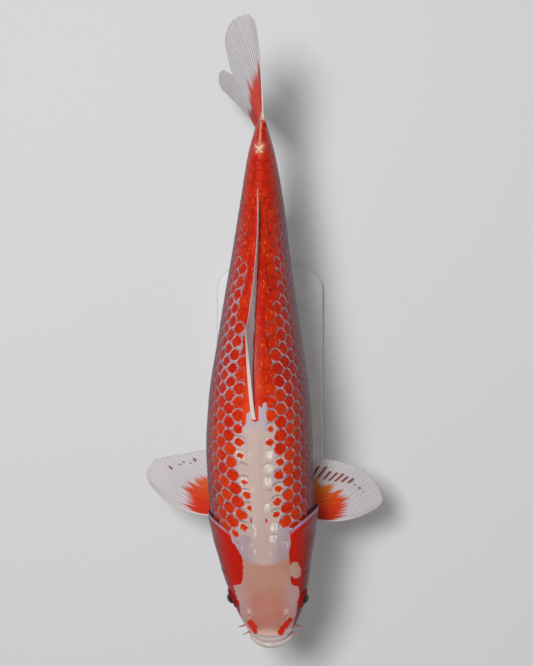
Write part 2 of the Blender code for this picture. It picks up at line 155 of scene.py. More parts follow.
def foldAngle(angle):
    # elevation from -90 to 90 and side, +1 for the fish's left
    turn = np.radians(angle)
    return np.degrees(np.arcsin(np.clip(np.sin(turn), -1, 1))), np.where(np.cos(turn) >= 0, 1.0, -1.0)


def meshFrom(name, points, faces):
    mesh = bpy.data.meshes.new(name)
    mesh.from_pydata(points.reshape(-1, 3).tolist(), [], faces)
    mesh.update()
    mesh.shade_smooth()
    piece = bpy.data.objects.new(name, mesh)
    bpy.context.scene.collection.objects.link(piece)
    return piece


def gridFaces(rows, columns, closed=False):
    # quads over a grid of points, facing along (next column) x (next row)
    r, c = np.meshgrid(np.arange(rows - 1), np.arange(columns if closed else columns - 1), indexing="ij")
    here, beyond, after = r * columns, (r + 1) * columns, (c + 1) % columns
    return np.stack([here + c, here + after, beyond + after, beyond + c], axis=-1).reshape(-1, 4)


def closeEnds(rings, ends):
    # points and faces of a grid of rings with a fan from a point at each end
    rows, sides = rings.shape[:2]
    ring = np.arange(sides)
    after = (ring + 1) % sides
    first, last = rows * sides, (rows - 1) * sides
    fans = [[first, b, a] for a, b in zip(ring, after)]
    fans += [[first + 1, last + a, last + b] for a, b in zip(ring, after)]
    points = np.concatenate([rings.reshape(-1, 3), ends])
    return points, gridFaces(rows, sides, closed=True).tolist() + fans


def setAttribute(piece, name, values):
    layer = piece.data.attributes.new(name, "FLOAT", "POINT")
    layer.data.foreach_set("value", np.asarray(values, np.float32).ravel())


def setMap(piece, name, corners):
    # a UV map from one pair for each corner
    layer = piece.data.uv_layers.new(name=name)
    layer.data.foreach_set("uv", np.asarray(corners, np.float32).ravel())


def cornersOf(piece, values):
    # one pair for each corner, from one pair for each point
    order = np.empty(len(piece.data.loops), np.int64)
    piece.data.loops.foreach_get("vertex_index", order)
    return values[order]


class Value:
    # a number or a colour in a node tree; arithmetic on it adds the nodes
    def __init__(self, socket):
        self.socket = socket
        self.tree = socket.id_data

    def __add__(self, other):
        return arithmetic("ADD", self, other)

    def __sub__(self, other):
        return arithmetic("SUBTRACT", self, other)

    def __rsub__(self, other):
        return arithmetic("SUBTRACT", other, self)

    def __mul__(self, other):
        return arithmetic("MULTIPLY", self, other)

    def __truediv__(self, other):
        return arithmetic("DIVIDE", self, other)

    def __pow__(self, other):
        return arithmetic("POWER", self, other)

    def __abs__(self):
        return arithmetic("ABSOLUTE", self)

    def __gt__(self, other):
        return arithmetic("GREATER_THAN", self, other)


def feed(socket, value):
    # links a value to a socket, or sets a constant there
    if isinstance(value, Value):
        value.tree.links.new(value.socket, socket)
    elif socket.type == "RGBA":
        socket.default_value = (*value, 1.0)
    else:
        socket.default_value = value


def node(tree, kind, inputs, output=0, **settings):
    made = tree.nodes.new(kind)
    for key, value in settings.items():
        setattr(made, key, value)
    for key, value in inputs.items():
        feed(made.inputs[key], value)
    return Value(made.outputs[output])


def arithmetic(operation, *values):
    tree = next(value.tree for value in values if isinstance(value, Value))
    return node(tree, "ShaderNodeMath", dict(enumerate(values)), operation=operation)


def larger(first, second):
    return arithmetic("MAXIMUM", first, second)


def newMaterial(name):
    made = bpy.data.materials.new(name)
    made.use_nodes = True
    return made, made.node_tree


def finishMaterial(made, values, relief=None):
    # feeds the shader's sockets by name; a relief is a height, its strength and its depth in metres
    shader = made.node_tree.nodes["Principled BSDF"]
    if relief:
        inputs = dict(zip(("Height", "Strength", "Distance"), relief))
        values = {**values, "Normal": node(made.node_tree, "ShaderNodeBump", inputs)}
    for key, value in values.items():
        feed(shader.inputs[key], value)
    return made


def softStep(value, low, high):
    # 0 at low, 1 at high, an S-curve between; high may be the smaller
    inputs = {"Value": value, "From Min": low, "From Max": high}
    return node(value.tree, "ShaderNodeMapRange", inputs, "Result", interpolation_type="SMOOTHSTEP")


def blendColour(amount, first, second):
    return node(amount.tree, "ShaderNodeMix", {0: amount, 6: first, 7: second}, 2, data_type="RGBA")


def blendValue(amount, first, second):
    return amount * (second - first) + first


def attributes(tree, *names):
    return [node(tree, "ShaderNodeAttribute", {}, "Fac", attribute_name=name) for name in names]


def parts(vector):
    return [node(vector.tree, "ShaderNodeSeparateXYZ", {"Vector": vector}, key) for key in "XYZ"]


def joined(x, y, z):
    return node(x.tree, "ShaderNodeCombineXYZ", {"X": x, "Y": y, "Z": z})


def objectPlace(tree):
    return node(tree, "ShaderNodeTexCoord", {}, "Object")


def noise(vector, scale, detail, roughness=0.5):
    inputs = {"Vector": vector, "Scale": scale, "Detail": detail, "Roughness": roughness}
    return node(vector.tree, "ShaderNodeTexNoise", inputs, "Fac")


def objectNoise(tree, scale, detail, roughness=0.55, stretch=(1, 1, 1)):
    moved = node(tree, "ShaderNodeMapping", {"Vector": objectPlace(tree), "Scale": stretch})
    return noise(moved, scale, detail, roughness)


def colour(red, green, blue):
    # from the 0-255 values of a screen colour to linear light
    shares = (red / 255, green / 255, blue / 255)
    return tuple(v / 12.92 if v <= 0.04045 else ((v + 0.055) / 1.055) ** 2.4 for v in shares)


paint = {
    "red": colour(206, 33, 8),
    # the dark of the specks, and painted shade on the flanks and the sides of the head
    "deepRed": colour(92, 3, 14),
    "orange": colour(226, 66, 10),
    # painted shade on the red from the back fin on
    "rearShadeRed": colour(178, 12, 12),
    "cheek": colour(182, 10, 12),
    "white": colour(204, 177, 163),
    # the grey behind the cap, partly painted shade
    "nape": colour(172, 150, 160),
    # painted sheen: the pearly white of the nape's streaks and the plates' fans
    "pearlSheen": colour(244, 238, 230),
    "net": colour(190, 172, 182),
    # painted shade for the net on the flank
    "netShade": colour(80, 68, 104),
    "membrane": colour(160, 150, 182),
    "cap": colour(190, 138, 112),
    "capPink": colour(196, 122, 102),
    "capRim": colour(198, 160, 160),
    # partly a painted highlight on the snout
    "snout": colour(236, 190, 172),
    "belly": colour(232, 218, 208),
    # the pale muzzle and nostril flaps, partly painted light
    "muzzle": colour(230, 208, 208),
    "lip": colour(186, 177, 172),
    "lipPale": colour(202, 186, 174),
    # painted shade for the gill slit
    "slit": colour(52, 14, 14),
    # the snout's marks, painted brighter against the shade of its slope
    "mark": colour(222, 44, 20),
    "glint": colour(248, 150, 60),
    "stemPale": colour(248, 208, 176),
}

# The markings, in millimetres on a plan: the body's surface is carried to one level along lines from an eye
# above it. planS is the station there, and planX the distance sideways from the body's middle line.
marks = {
    "eye": (0.0965, 0.066, 1.643),
    "level": 0.158,
    "shift": 1.9,
    # elevation above which the plan is used for the back, and the stations where its white and the even net end
    "topFrom": 8.0,
    "whiteEnd": 232.0,
    "netEnd": 205.0,
    # half width of the white of the back on the left and on the right
    "whiteLeft": [
        (70, 30), (96, 30), (107, 28), (113, 20), (119, 17), (130, 14), (142, 15), (155, 16.5), (165, 20.5),
        (175, 20.5), (183, 16.5), (196, 11.5), (207, 11), (216, 8), (224, 4), (232, -3),
    ],
    "whiteRight": [
        (70, 30), (96, 30), (106, 28), (112, 18), (118, 13.5), (130, 13.5), (143, 15), (155, 16.5), (167, 18),
        (178, 18.5), (188, 15.5), (196, 12.9), (207, 11), (216, 8), (224, 4), (232, -3),
    ],
    # the red is solid this near the middle line, and the net begins beyond it
    "solidFrom": [
        (80, -30), (205, -12), (222, 5), (250, 9), (300, 12), (350, 12), (400, 11), (440, 10), (480, 5),
    ],
    "netWidth": 11.0,
    # how strong the pale net is at each station
    "netStrength": [(200, 1.0), (300, 1.0), (345, 0.92), (380, 0.74), (410, 0.55), (440, 0.42), (490, 0.30)],
    # inner edge of the cheek's red
    "cheekLeft": [
        (34, 36), (39, 34), (42, 31), (46, 30.3), (56, 31), (58.7, 30), (60.2, 24.5), (64, 24.2), (74, 25),
        (87, 24), (102, 26.8), (112, 20.8), (120, 18),
    ],
    "cheekRight": [
        (34, 26), (41.6, 26), (48, 28), (53, 29.5), (57, 30.5), (58.7, 31), (60.5, 23.5), (74, 20.2),
        (81, 19.8), (97, 25.5), (110, 29.4), (120, 27),
    ],
    # and of the red line along the snout
    "edging": [(15, 20.5), (18, 21.5), (22.4, 23.2), (30, 25.7), (40, 28.3), (48, 30)],
    # a pale disc in the cheek's red
    "notch": {"side": 1, "planS": 73.8, "planX": 29.0, "along": 7.8, "across": 5.6},
    # white tongues beside the front of the back fin, each like a stroke below
    "tongues": [((212.0, 8.0), (229.0, 8.0), 3.7), ((206.0, -8.0), (220.0, -8.4), 2.5)],
    # the smooth ridge of the back, without scales: half width at each station
    "band": [
        (100, 9), (112, 5), (120, 3.5), (200, 3.5), (211, 10), (236, 10), (250, 7.5), (300, 7.5), (396, 6),
        (412, -6),
    ],
    # the mark on the tail stem: station in metres, and planX
    "cross": (0.4675, -1.2),
    # each stroke: start, end (planS and planX of both) and half width
    "strokes": [
        ((23.5, -17.0), (19.0, -13.5), 3.0),
        ((19.0, -13.5), (15.0, -12.6), 2.1),
        ((27.0, 20.5), (15.0, 10.8), 2.5),
    ],
    # small marks close to the ridge: planS, planX and size
    "islands": [(124.8, 7.0, 0.30), (125.2, -6.2, 0.34), (112.0, -7.2, 0.50)],
    "islandReach": (5.5, 4.6),
    # the cap's rear edge: station on the middle line, and how much further back it is at a distance to the side
    "capEdge": (78.5, 6.5, 22.0),
    # lowest elevation of the red on the flank
    "redLow": -38.0,
}


def strokeDistance(planS, planX, stroke):
    # millimetres inside (+) or outside (-) a round-ended stroke
    (s0, x0), (s1, x1), half = stroke
    t = np.clip(((planS - s0) * (s1 - s0) + (planX - x0) * (x1 - x0)) / ((s1 - s0) ** 2 + (x1 - x0) ** 2), 0, 1)
    return half - np.hypot(planS - s0 - t * (s1 - s0), planX - x0 - t * (x1 - x0))


def planPlace(station, angle):
    # planS and planX, in millimetres
    points, eye = bodyPoint(station, angle), np.array(marks["eye"])
    share = (eye[2] - marks["level"]) / (eye[2] - points[..., 2])
    flat = eye[:2] + (points[..., :2] - eye[:2]) * share[..., None]
    along = flat[..., 1] + body["balance"]
    return along * 1000, (flat[..., 0] - middleLine(along)) * 1000 + marks["shift"]


def sideways(station, angle):
    # millimetres from the middle line of the body itself
    return (bodyPoint(station, angle)[..., 0] - middleLine(station)) * 1000


def notchDepth(planS, planX, side):
    # 1 in the middle of the pale disc in the cheek's red, 0 on its edge, negative outside
    disc = marks["notch"]
    behind, aside = planS - disc["planS"], planX - disc["side"] * disc["planX"]
    depth = 1 - np.hypot(behind / disc["along"], aside / disc["across"])
    return np.where(side == disc["side"], depth, -1.8)


def eitherSide(left, right, side, planS):
    # a row of marks on the fish's left or on its right
    return np.where(side > 0, smoothRow(marks[left], 1, planS), smoothRow(marks[right], 1, planS))


def headRed(station, angle):
    # millimetres inside (+) or outside (-) the red of the head
    planS, planX = planPlace(station, angle)
    elevation, side = foldAngle(angle)
    inner = eitherSide("cheekLeft", "cheekRight", side, planS)
    # below the widest line planX shrinks again, so the cheek is red there down to a fixed elevation
    across = np.where(elevation > 12, np.abs(planX) - inner, 6.0)
    cheek = np.minimum(across, (elevation + 42) * 0.6)
    # the cheek's red runs forward under the eye to the corner of the mouth
    forward = (planS - 37) * 0.9 + 0.25 * np.abs(elevation - 15) + 15 * (1 - ramp(2, 14, elevation))
    cheek = np.minimum(cheek, np.minimum(forward, (planS - 18.5) * 0.9))
    cheek = np.minimum(cheek, -5 * notchDepth(planS, planX, side))
    # and edges the snout between the eye and the mouth
    edging = np.abs(planX) - smoothRow(marks["edging"], 1, planS)
    edging = np.minimum(edging, np.minimum(planS - 18.5, 48 - planS) * 0.9)
    field = np.maximum(cheek, np.where(elevation > -5, edging, -9.0))
    for stroke in marks["strokes"]:
        field = np.maximum(field, np.where(elevation > 0, strokeDistance(planS, planX, stroke), -9.0))
    return field


def pastWhite(planS, across):
    # millimetres outside the white of the back
    return np.abs(across) - eitherSide("whiteLeft", "whiteRight", across, planS)


def scalePaint(station, angle, chance=0.5):
    # size of a scale's red spot (0 none, 1 nearly the whole scale) and strength of the pale net round it
    planS, across = planPlace(station, angle)
    elevation, _ = foldAngle(angle)
    top = elevation > marks["topFrom"]
    spot = np.clip(pastWhite(planS, across) / 14.0 + 0.36 + 0.6 * (chance - 0.5), 0, 1)
    alongReach, acrossReach = marks["islandReach"]
    for atS, atX, size in marks["islands"]:
        near = (np.abs(planS - atS) < alongReach) & (np.abs(across - atX) < acrossReach) & top
        spot = np.where(near, np.maximum(spot, size), spot)
    spot = np.where(top & (planS < marks["whiteEnd"]), spot, 1.0)
    start = smoothRow(marks["solidFrom"], 1, planS)
    net = np.clip((np.abs(across) - start) / marks["netWidth"] + 0.5 * (chance - 0.5), 0, 1)
    net = np.where(top, net, 1.0)
    net = np.where(planS < marks["netEnd"], 1.0, net * smoothRow(marks["netStrength"], 1, planS))
    # on the tail stem the red reaches right round
    lowest = marks["redLow"] - 70 * ramp(370, 440, planS)
    lower = np.clip((elevation - lowest + 14) / 22 + 0.5 * (chance - 0.5), 0, 1)
    return spot * lower, net


def smoothBack(station, angle):
    # 1 on the smooth ridge of the back, 0 where the scales are
    elevation, _ = foldAngle(angle)
    edge = smoothRow(marks["band"], 1, station * 1000)
    across = np.abs(sideways(station, angle))
    return np.where(elevation > 0, 1 - ramp(edge - 1.0, edge + 4.0, across), 0.0)


skin = {
    "columns": 300,
    "headStep": 0.00066,
    "trunkStep": 0.0042,
    "tailTip": 0.505,
    # the gill cover: the row that folds, its highest elevation, its stations and its distance off each side
    "gillRow": 0.134,
    "top": 63.0,
    "ends": 0.104,
    "throat": 0.090,
    "nape": 0.102,
    "rear": {1: 0.1335, -1: 0.1290},
    "flare": {1: 0.0036, -1: 0.0022},
    "membrane": 0.75,
    # by rows from the fold, in millimetres: how far the skin slides back and how deep it drops
    "slide": [(-3, 0), (-1, 0.4), (0, 1.4), (1, 1.3), (2, -0.5), (3, -2.6), (4, -2.0), (6, 0)],
    "drop": [(-1, 0), (0, 0.35), (1, 1.0), (2, 1.3), (3, 0)],
    # station, reach from the middle line, height over the axis, radius of the ball
    "eye": (0.0500, 0.0385, 0.0050, 0.0066),
    # station, distance from the middle line
    "nostril": (0.0340, 0.0172),
}


def gillEdge(angle):
    # station of the gill cover's rear edge: an ellipse above its middle, a cosine towards the throat
    elevation, side = foldAngle(angle)
    rear = np.where(side > 0, skin["rear"][1], skin["rear"][-1])
    above = np.clip((elevation + 3) / (skin["top"] + 3), 0, 1)
    below = np.clip((-3 - elevation) / 87, 0, 1)
    upper = skin["ends"] + (rear - skin["ends"]) * np.sqrt(1 - above**2)
    lower = skin["throat"] + (rear - skin["throat"]) * np.cos(np.radians(below * 90)) ** 0.8
    return np.where(elevation > -3, upper, lower)


def headEdge(angle):
    # where the scales begin: the gill cover's edge, and a line across the nape
    elevation, _ = foldAngle(angle)
    nape = skin["ends"] - (skin["ends"] - skin["nape"]) * ramp(skin["top"] - 4, 86, elevation)
    return np.where(elevation > skin["top"] - 4, np.minimum(nape, gillEdge(angle)), gillEdge(angle))


def gillLift(angle):
    # how far the gill cover's edge stands off
    elevation, side = foldAngle(angle)
    flare = np.where(side > 0, skin["flare"][1], skin["flare"][-1])
    return flare * (1 - ramp(40, skin["top"], elevation)) * (0.35 + 0.65 * ramp(-90, -55, elevation))


def eyeCentre(side):
    station, reach, height, radius = skin["eye"]
    return placeAt(station, side * (reach - radius), height)


def nostrilDistance(planS, planX, elevation, hand, ahead=0.0, inward=0.0):
    # millimetres from a nostril's pit, or from a place this far ahead of it and nearer the middle line
    atS, atX = skin["nostril"][0] * 1000 - ahead, hand * (skin["nostril"][1] * 1000 - inward)
    return np.where(elevation > 0, np.hypot(planS - atS, planX - atX), 99)


def between(start, full, fall, end, value):
    # rises from start to full and sinks again from fall to end
    return ramp(start, full, value) * (1 - ramp(fall, end, value))


def headRelief(station, angle):
    # height of the head's own forms over the smooth body, in millimetres until the last line
    planS, planX = station * 1000, sideways(station, angle)
    elevation, _ = foldAngle(angle)
    points = bodyPoint(station, angle)
    lift = np.zeros_like(planS)
    for hand in (1, -1):
        away = np.linalg.norm(points - eyeCentre(hand), axis=-1) * 1000
        # the upper lid reaches further over the ball than the lower one
        over = ramp(-0.5, 4.0, (points[..., 2] - eyeCentre(hand)[2]) * 1000)
        lift += 0.9 * bump(away - 8.6 + 0.6 * over, 1.9) + 0.9 * over * bump(away - 7.6, 1.7)
        lift -= 0.7 * bump(away - 11.4, 1.3)
        lift -= 3.4 * (1 - ramp(5.6 - 0.8 * over, 7.4 - 1.1 * over, away))
    # brow: a soft ridge over each eye
    lift += 0.7 * bump(elevation - 40, 10) * bump(planS - 50, 13)
    # nostrils: a pit with a raised flap in front
    for hand in (1, -1):
        pit = nostrilDistance(planS, planX, elevation, hand)
        front = nostrilDistance(planS, planX, elevation, hand, 2.9, 0.8)
        lift += -1.7 * bump(pit, 1.25) + 0.75 * bump(pit - 2.3, 0.8) + 0.6 * bump(front, 1.3)
    # the fold over the upper lip, and the one behind the mouth's corner
    bow = planS - 0.012 * planX**2
    overLip = ramp(-10, 6, elevation) * (1 - ramp(19, 23, np.abs(planX)))
    lift += 0.5 * (bump(bow - 14.5, 2.2) - bump(bow - 11.0, 1.3)) * overLip
    lift -= 0.9 * bump(planS - 27 - 0.10 * elevation, 1.6) * bump(elevation + 18, 17)
    # the cheek plate's rear groove: a crescent
    fromGroove = planS - 80 + 0.0042 * (elevation - 6) ** 2
    crescent = between(-62, -50, 34, 46, elevation)
    lift += (0.2 * bump(fromGroove + 4, 3.0) - 0.45 * bump(fromGroove, 1.3)) * crescent
    # the gill cover's swell and the groove between its two plates
    edge = gillEdge(angle) * 1000
    lift += 0.9 * bump(planS - 0.5 * (edge + 82), 13) * bump(elevation + 2, 32)
    lift -= 0.35 * bump(elevation + 34 - (planS - 90) * 0.25, 2.2) * between(84, 92, edge - 8, edge - 2, planS)
    # throat folds under the jaw
    lift -= 0.8 * bump(np.abs(planX) - 0.18 * (planS - 12), 1.5) * between(16, 26, 70, 88, planS) * (elevation < -35)
    return lift / 1000


def storeMarks(piece, station, turn, offset, present):
    # what the skin's material reads: distances in millimetres, and shares from 0 to 1
    def store(name, values, first=0.0, final=0.0):
        setAttribute(piece, name, np.concatenate([np.broadcast_to(values, turn.shape).ravel(), [first, final]]))

    planS, planX = planPlace(station, turn)
    elevation, side = foldAngle(turn)
    start, bow, reach = marks["capEdge"]
    spot, _ = scalePaint(station, turn)
    below = ramp(0, 0.004, station - headEdge(turn))
    behind = np.where(planS < marks["netEnd"], -5.0, np.minimum(8 * (spot - 0.5), 6.0))
    # beside the fin's root the red runs forward as a thin line, between two white tongues
    ridge = elevation > 40
    thin = 4.0 - np.abs(sideways(station, turn))
    behind = np.where(ridge & (station > 0.2150) & (station < 0.24), np.maximum(behind, thin), behind)
    for tongue in marks["tongues"]:
        behind = np.minimum(behind, np.where(ridge, -strokeDistance(planS, planX, tongue), 9.0))
    store("red", headRed(station, turn) * (1 - below) * (offset < 3) + below * behind, -9, 9)
    store("cap", np.where(elevation > 4, start + bow * (planX / reach) ** 2 - planS, -40), 40, -40)
    # painted shade: the flap's edge and underside and the floor of the slit are painted dark
    store("slit", ((offset >= 1) & (offset <= 5)) * present)
    store("rim", bump((station - gillEdge(turn)) * 1000 + 0.6, skin["membrane"]) * (offset <= 2) * present)
    store("notch", np.clip(notchDepth(planS, planX, side) * 4, 0, 1))
    # the pale patch at each nostril flap, partly a painted highlight
    flap = sum(bump(nostrilDistance(planS, planX, elevation, hand, -1.0, -0.6), 2.2) for hand in (1, -1))
    store("flap", np.clip(flap, 0, 1))
    store("station", planS, 4.5, 500)
    store("across", planX)
    store("elevation", elevation)


def skinCorners(count, columns):
    # the unwrap: rows run along and the angle round, with the seam under the belly and a fan at each end
    ring = np.arange(columns)
    along = (np.arange(count) + 1.0) / (count + 1)
    r, c = np.meshgrid(np.arange(count - 1), ring, indexing="ij")
    u = np.stack([along[r], along[r], along[r + 1], along[r + 1]], axis=-1).ravel()
    v = np.stack([c, c + 1, c + 1, c], axis=-1).ravel()
    front = np.tile([0.0, along[0], along[0]], columns)
    rear = np.tile([1.0, along[-1], along[-1]], columns)
    frontRound = np.stack([ring + 0.5, ring + 1, ring], axis=-1).ravel()
    rearRound = np.stack([ring + 0.5, ring, ring + 1], axis=-1).ravel()
    around = np.concatenate([v, frontRound, rearRound]) / columns
    return np.stack([np.concatenate([u, front, rear]), around], axis=-1)


def makeSkin():
    # rows of rings from the nose to behind the tail's root; the row at the gill edge folds back under itself
    rows = body["nose"] + 0.0003 + np.arange(0.002, 0.139, skin["headStep"])
    tip = body["nose"] + 0.0003 + np.array([0, 0.0002, 0.0005, 0.0009, 0.0014])
    trunk = np.arange(rows[-1] + 0.0025, skin["tailTip"] - 0.001, skin["trunkStep"])
    base = np.concatenate([tip, rows, trunk, [skin["tailTip"]]])
    gillRow = int(np.searchsorted(base, skin["gillRow"]))
    gill = base[gillRow]
    angle = -90.0 + np.arange(skin["columns"]) * 360.0 / skin["columns"]
    row, turn = np.meshgrid(base, angle, indexing="ij")
    weight = np.where(row < gill, ramp(0.045, gill, row), 1 - ramp(gill, 0.235, row))
    station = row + (gillEdge(turn) - gill) * weight
    offset = np.arange(len(base))[:, None] - gillRow + np.zeros_like(turn)
    fold = gillLift(turn)
    present = np.clip(fold / 0.0010, 0, 1)
    # along the fold: the flap's top, its rim, its underside and the floor of the slit
    slide, drop = (np.interp(offset, *zip(*skin[key])) / 1000 * present for key in ("slide", "drop"))
    stand = fold * ramp(-0.024, -0.0005, station - gillEdge(turn)) ** 1.5
    smooth = smoothBack(station, turn)
    inset = body["coatDepth"] * ramp(0, 0.009, station - headEdge(turn) + 0.004) * (1 - smooth)
    flap = headRelief(station, turn) - inset * np.where(offset < 1, 1.0, 1 - present) + stand - drop
    floor = -np.maximum(inset, 0.0016 * present * (offset < 7))
    points = skinPoint(station + slide, turn, np.where(offset <= 2, flap, floor))
    piece = meshFrom("koiSkin", *closeEnds(points, [bodyPoint(body["nose"], 0.0), points[-1].mean(axis=0)]))

    storeMarks(piece, station, turn, offset, present)
    setMap(piece, "OFBake", 0.002 + 0.996 * skinCorners(*turn.shape))
    return piece


def stemMark(tree):
    # a small pale cross on the tail stem's ridge, and a faint pale line from it to the tail
    middle = bodyPoint(marks["cross"][0], 90.0)
    x, y, z = parts(objectPlace(tree))
    x = (x - float(middle[0])) * 1000.0 - marks["cross"][1]
    y = (y - float(middle[1])) * 1000.0
    wobble = (objectNoise(tree, 620, 4, 0.65) - 0.5) * 8.5
    # its forward arms are the shorter ones
    away = (x * x + y * y) ** 0.5 - y * 0.28
    cross = softStep(abs(abs(x) - abs(y)) + wobble, 2.8, 0.2) * softStep(away - wobble, 6.4, 3.4)
    cross = larger(cross, softStep(away + wobble, 2.6, 0.8))
    cross = larger(cross * 0.95, softStep(away, 9.0, 1.0) * 0.25)
    line = softStep(abs(x - y * 0.06 + wobble * 0.3), 1.1, 0.3) * softStep(y, 3.0, 6.0) * 0.5
    return larger(cross, line) * (z > body["axisHeight"] + 0.021)


def withRearShade(red, station):
    # painted shade: the red is darker from the back fin on
    return blendColour(softStep(station, 222.0, 275.0) * 0.48, red, paint["rearShadeRed"])


def withGlints(shade, station, across):
    # fine bright glints on the red either side of the back fin, and the mark on the tail stem
    tree = shade.tree
    spark = softStep(objectNoise(tree, 700, 2, 0.5, stretch=(1, 0.35, 1)), 0.60, 0.70)
    spark = spark * softStep(abs(across), 20.0, 9.0)
    spark = spark * softStep(station, 225.0, 250.0) * softStep(station, 470.0, 400.0)
    shade = blendColour(spark * 0.5, shade, paint["glint"])
    return blendColour(stemMark(tree), shade, paint["stemPale"])


def withNape(white, station, across):
    # greyer behind the cap, most of all at its sides: a little of the skin's own grey throughout, and painted shade
    # towards the sides, which turn from the light
    grey = softStep(abs(across), 4.0, 17.0) * 0.65 + 0.2
    return blendColour(grey * softStep(station, 128.0, 105.0), white, paint["nape"])


def skinMaterial():
    made, tree = newMaterial("koiSkinPaint")
    station, across, elevation = attributes(tree, "station", "across", "elevation")
    redDepth, capDepth, notch, flap, rim, slit = attributes(tree, "red", "cap", "notch", "flap", "rim", "slit")
    edge = (objectNoise(tree, 300, 4) - 0.5) * 3.4
    mottle = softStep(objectNoise(tree, 34, 5, 0.6), 0.35, 0.68)
    calm = softStep(station, 205.0, 195.0) * 0.75 + 0.25
    bow = across * across
    bluff = station + bow * 0.012
    # the cap: tan at the back, pinker over the brain, pale on its front sides and on the snout
    pink = softStep(station, 62.0, 44.0) * softStep(station, 13.0, 21.0)
    cap = blendColour(pink, paint["cap"], paint["capPink"])
    cap = blendColour(mottle * 0.3, cap, paint["capRim"])
    aslant = softStep(abs(across) - edge * 1.5, 11.0, 27.0) * softStep(station, 72.0, 50.0)
    cap = blendColour(aslant * 0.85, cap, paint["capRim"])
    # the snout is paler: partly its own pale skin, partly a painted highlight
    cap = blendColour(softStep(bluff + edge * 0.5, 21.5, 13.5), cap, paint["snout"])
    cap = blendColour(notch * 0.35, cap, paint["white"])
    # the muzzle is paler still: partly its own pale skin, partly painted light that offsets the shade of the fold
    # over the upper lip
    cap = blendColour(softStep(station - bow * 0.018, 15.0, 8.0), cap, paint["muzzle"])
    white = blendColour(mottle * 0.35, paint["white"], paint["net"])
    white = blendColour(softStep(station, 200.0, 214.0), white, paint["net"])
    white = withNape(white, station, across)
    # faint pearly streaks of painted sheen run back from the cap
    streak = softStep(objectNoise(tree, 240, 3, 0.5, stretch=(1, 0.16, 1)), 0.55, 0.70)
    streak = streak * softStep(station, 84.0, 92.0) * softStep(abs(across), 3.0, 8.0)
    white = blendColour(streak * 0.7, white, paint["pearlSheen"])
    white = blendColour(softStep(elevation, -20.0, -50.0), white, paint["belly"])
    ground = blendColour(softStep(capDepth + edge, -1.6, 2.0), white, cap)
    # a pale patch at each nostril flap: partly the flap's own pale skin, partly a painted highlight
    ground = blendColour(flap * 0.6, ground, paint["muzzle"])
    red = blendColour(mottle * 0.4 + 0.1, paint["red"], paint["cheek"])
    # painted shade: the red darkens down the sides, where they turn from the light
    red = blendColour(softStep(elevation, 52.0, 16.0) * 0.85, red, paint["deepRed"])
    # behind the head the skin's red is as bright as the scales'
    bright = withRearShade(blendColour(mottle, paint["red"], paint["orange"]), station)
    red = blendColour(softStep(station, 195.0, 215.0), red, bright)
    # the marks on the snout are painted brighter than the cheeks: painted light that offsets the shade where the
    # snout slopes away
    onSnout = softStep(bluff, 33.0, 28.0) * softStep(elevation, 26.0, 36.0)
    red = blendColour(onSnout, red, paint["mark"])
    shade = blendColour(softStep(redDepth + edge * calm, -0.25, 0.30), ground, red)
    shade = blendColour(rim * 0.85, shade, paint["membrane"])
    # painted shade in the gill slit
    shade = blendColour(slit, shade, paint["slit"])
    values = {
        "Base Color": withGlints(shade, station, across),
        "Roughness": objectNoise(tree, 420, 3) * 0.22 + 0.24,
        "Specular IOR Level": 0.11,
        "Coat Weight": 0.05,
        "Coat Roughness": 0.06,
    }
    pores = objectNoise(tree, 1500, 3) * 0.35 + objectNoise(tree, 170, 3)
    return finishMaterial(made, values, (pores, 0.14, 0.0012))


koiSkin = makeSkin()
koiSkin.data.materials.append(skinMaterial())
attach(koiSkin, "root")
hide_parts("head", "trunk", "tail_stem", "gill_cover_left", "gill_cover_right")
print("skin", len(koiSkin.data.polygons))

# plates: stations, pitch along and between rows, size and lift
scales = {
    "first": 0.088,
    "last": 0.497,
    "along": [(0.088, 0.0108), (0.13, 0.0121), (0.30, 0.0121), (0.40, 0.0108), (0.49, 0.0086)],
    "rows": [
        (0.088, 0.0096), (0.13, 0.0106), (0.22, 0.0109), (0.30, 0.0104), (0.40, 0.0088), (0.46, 0.0078),
        (0.49, 0.0074),
    ],
    "length": 1.75,
    "halfWidth": 0.80,
    "curve": 0.86,
    "rise": 0.0008,
    "finFrom": 0.212,
    "finTo": 0.408,
    "steps": (7, 7),
    "skirt": 0.00045,
    # free of plates: a share of a pitch beside the back and belly rows, and a strip behind the head's edge
    "gap": 0.42,
    "clear": 0.0035,
    "seed": 11,
}


def arcTables():
    # for each station: the ring's length from the flank to the back and to the belly, and its angles by share
    stations = np.linspace(0.03, 0.505, 120)
    share = np.linspace(0, 1, 121)
    angles, lengths = {}, {}
    for way in (1, -1):
        turn = way * np.linspace(0, 90, 361)
        ring = bodyPoint(stations[:, None], turn[None, :])
        steps = np.linalg.norm(np.diff(ring, axis=1), axis=2)
        run = np.concatenate([np.zeros((len(stations), 1)), np.cumsum(steps, axis=1)], axis=1)
        lengths[way] = run[:, -1]
        angles[way] = np.stack([np.interp(share, line / line[-1], np.abs(turn)) for line in run])
    return stations, lengths, angles


arcStations, arcLengths, arcAngles = arcTables()


def ringLength(station, way):
    return np.interp(station, arcStations, arcLengths[way])


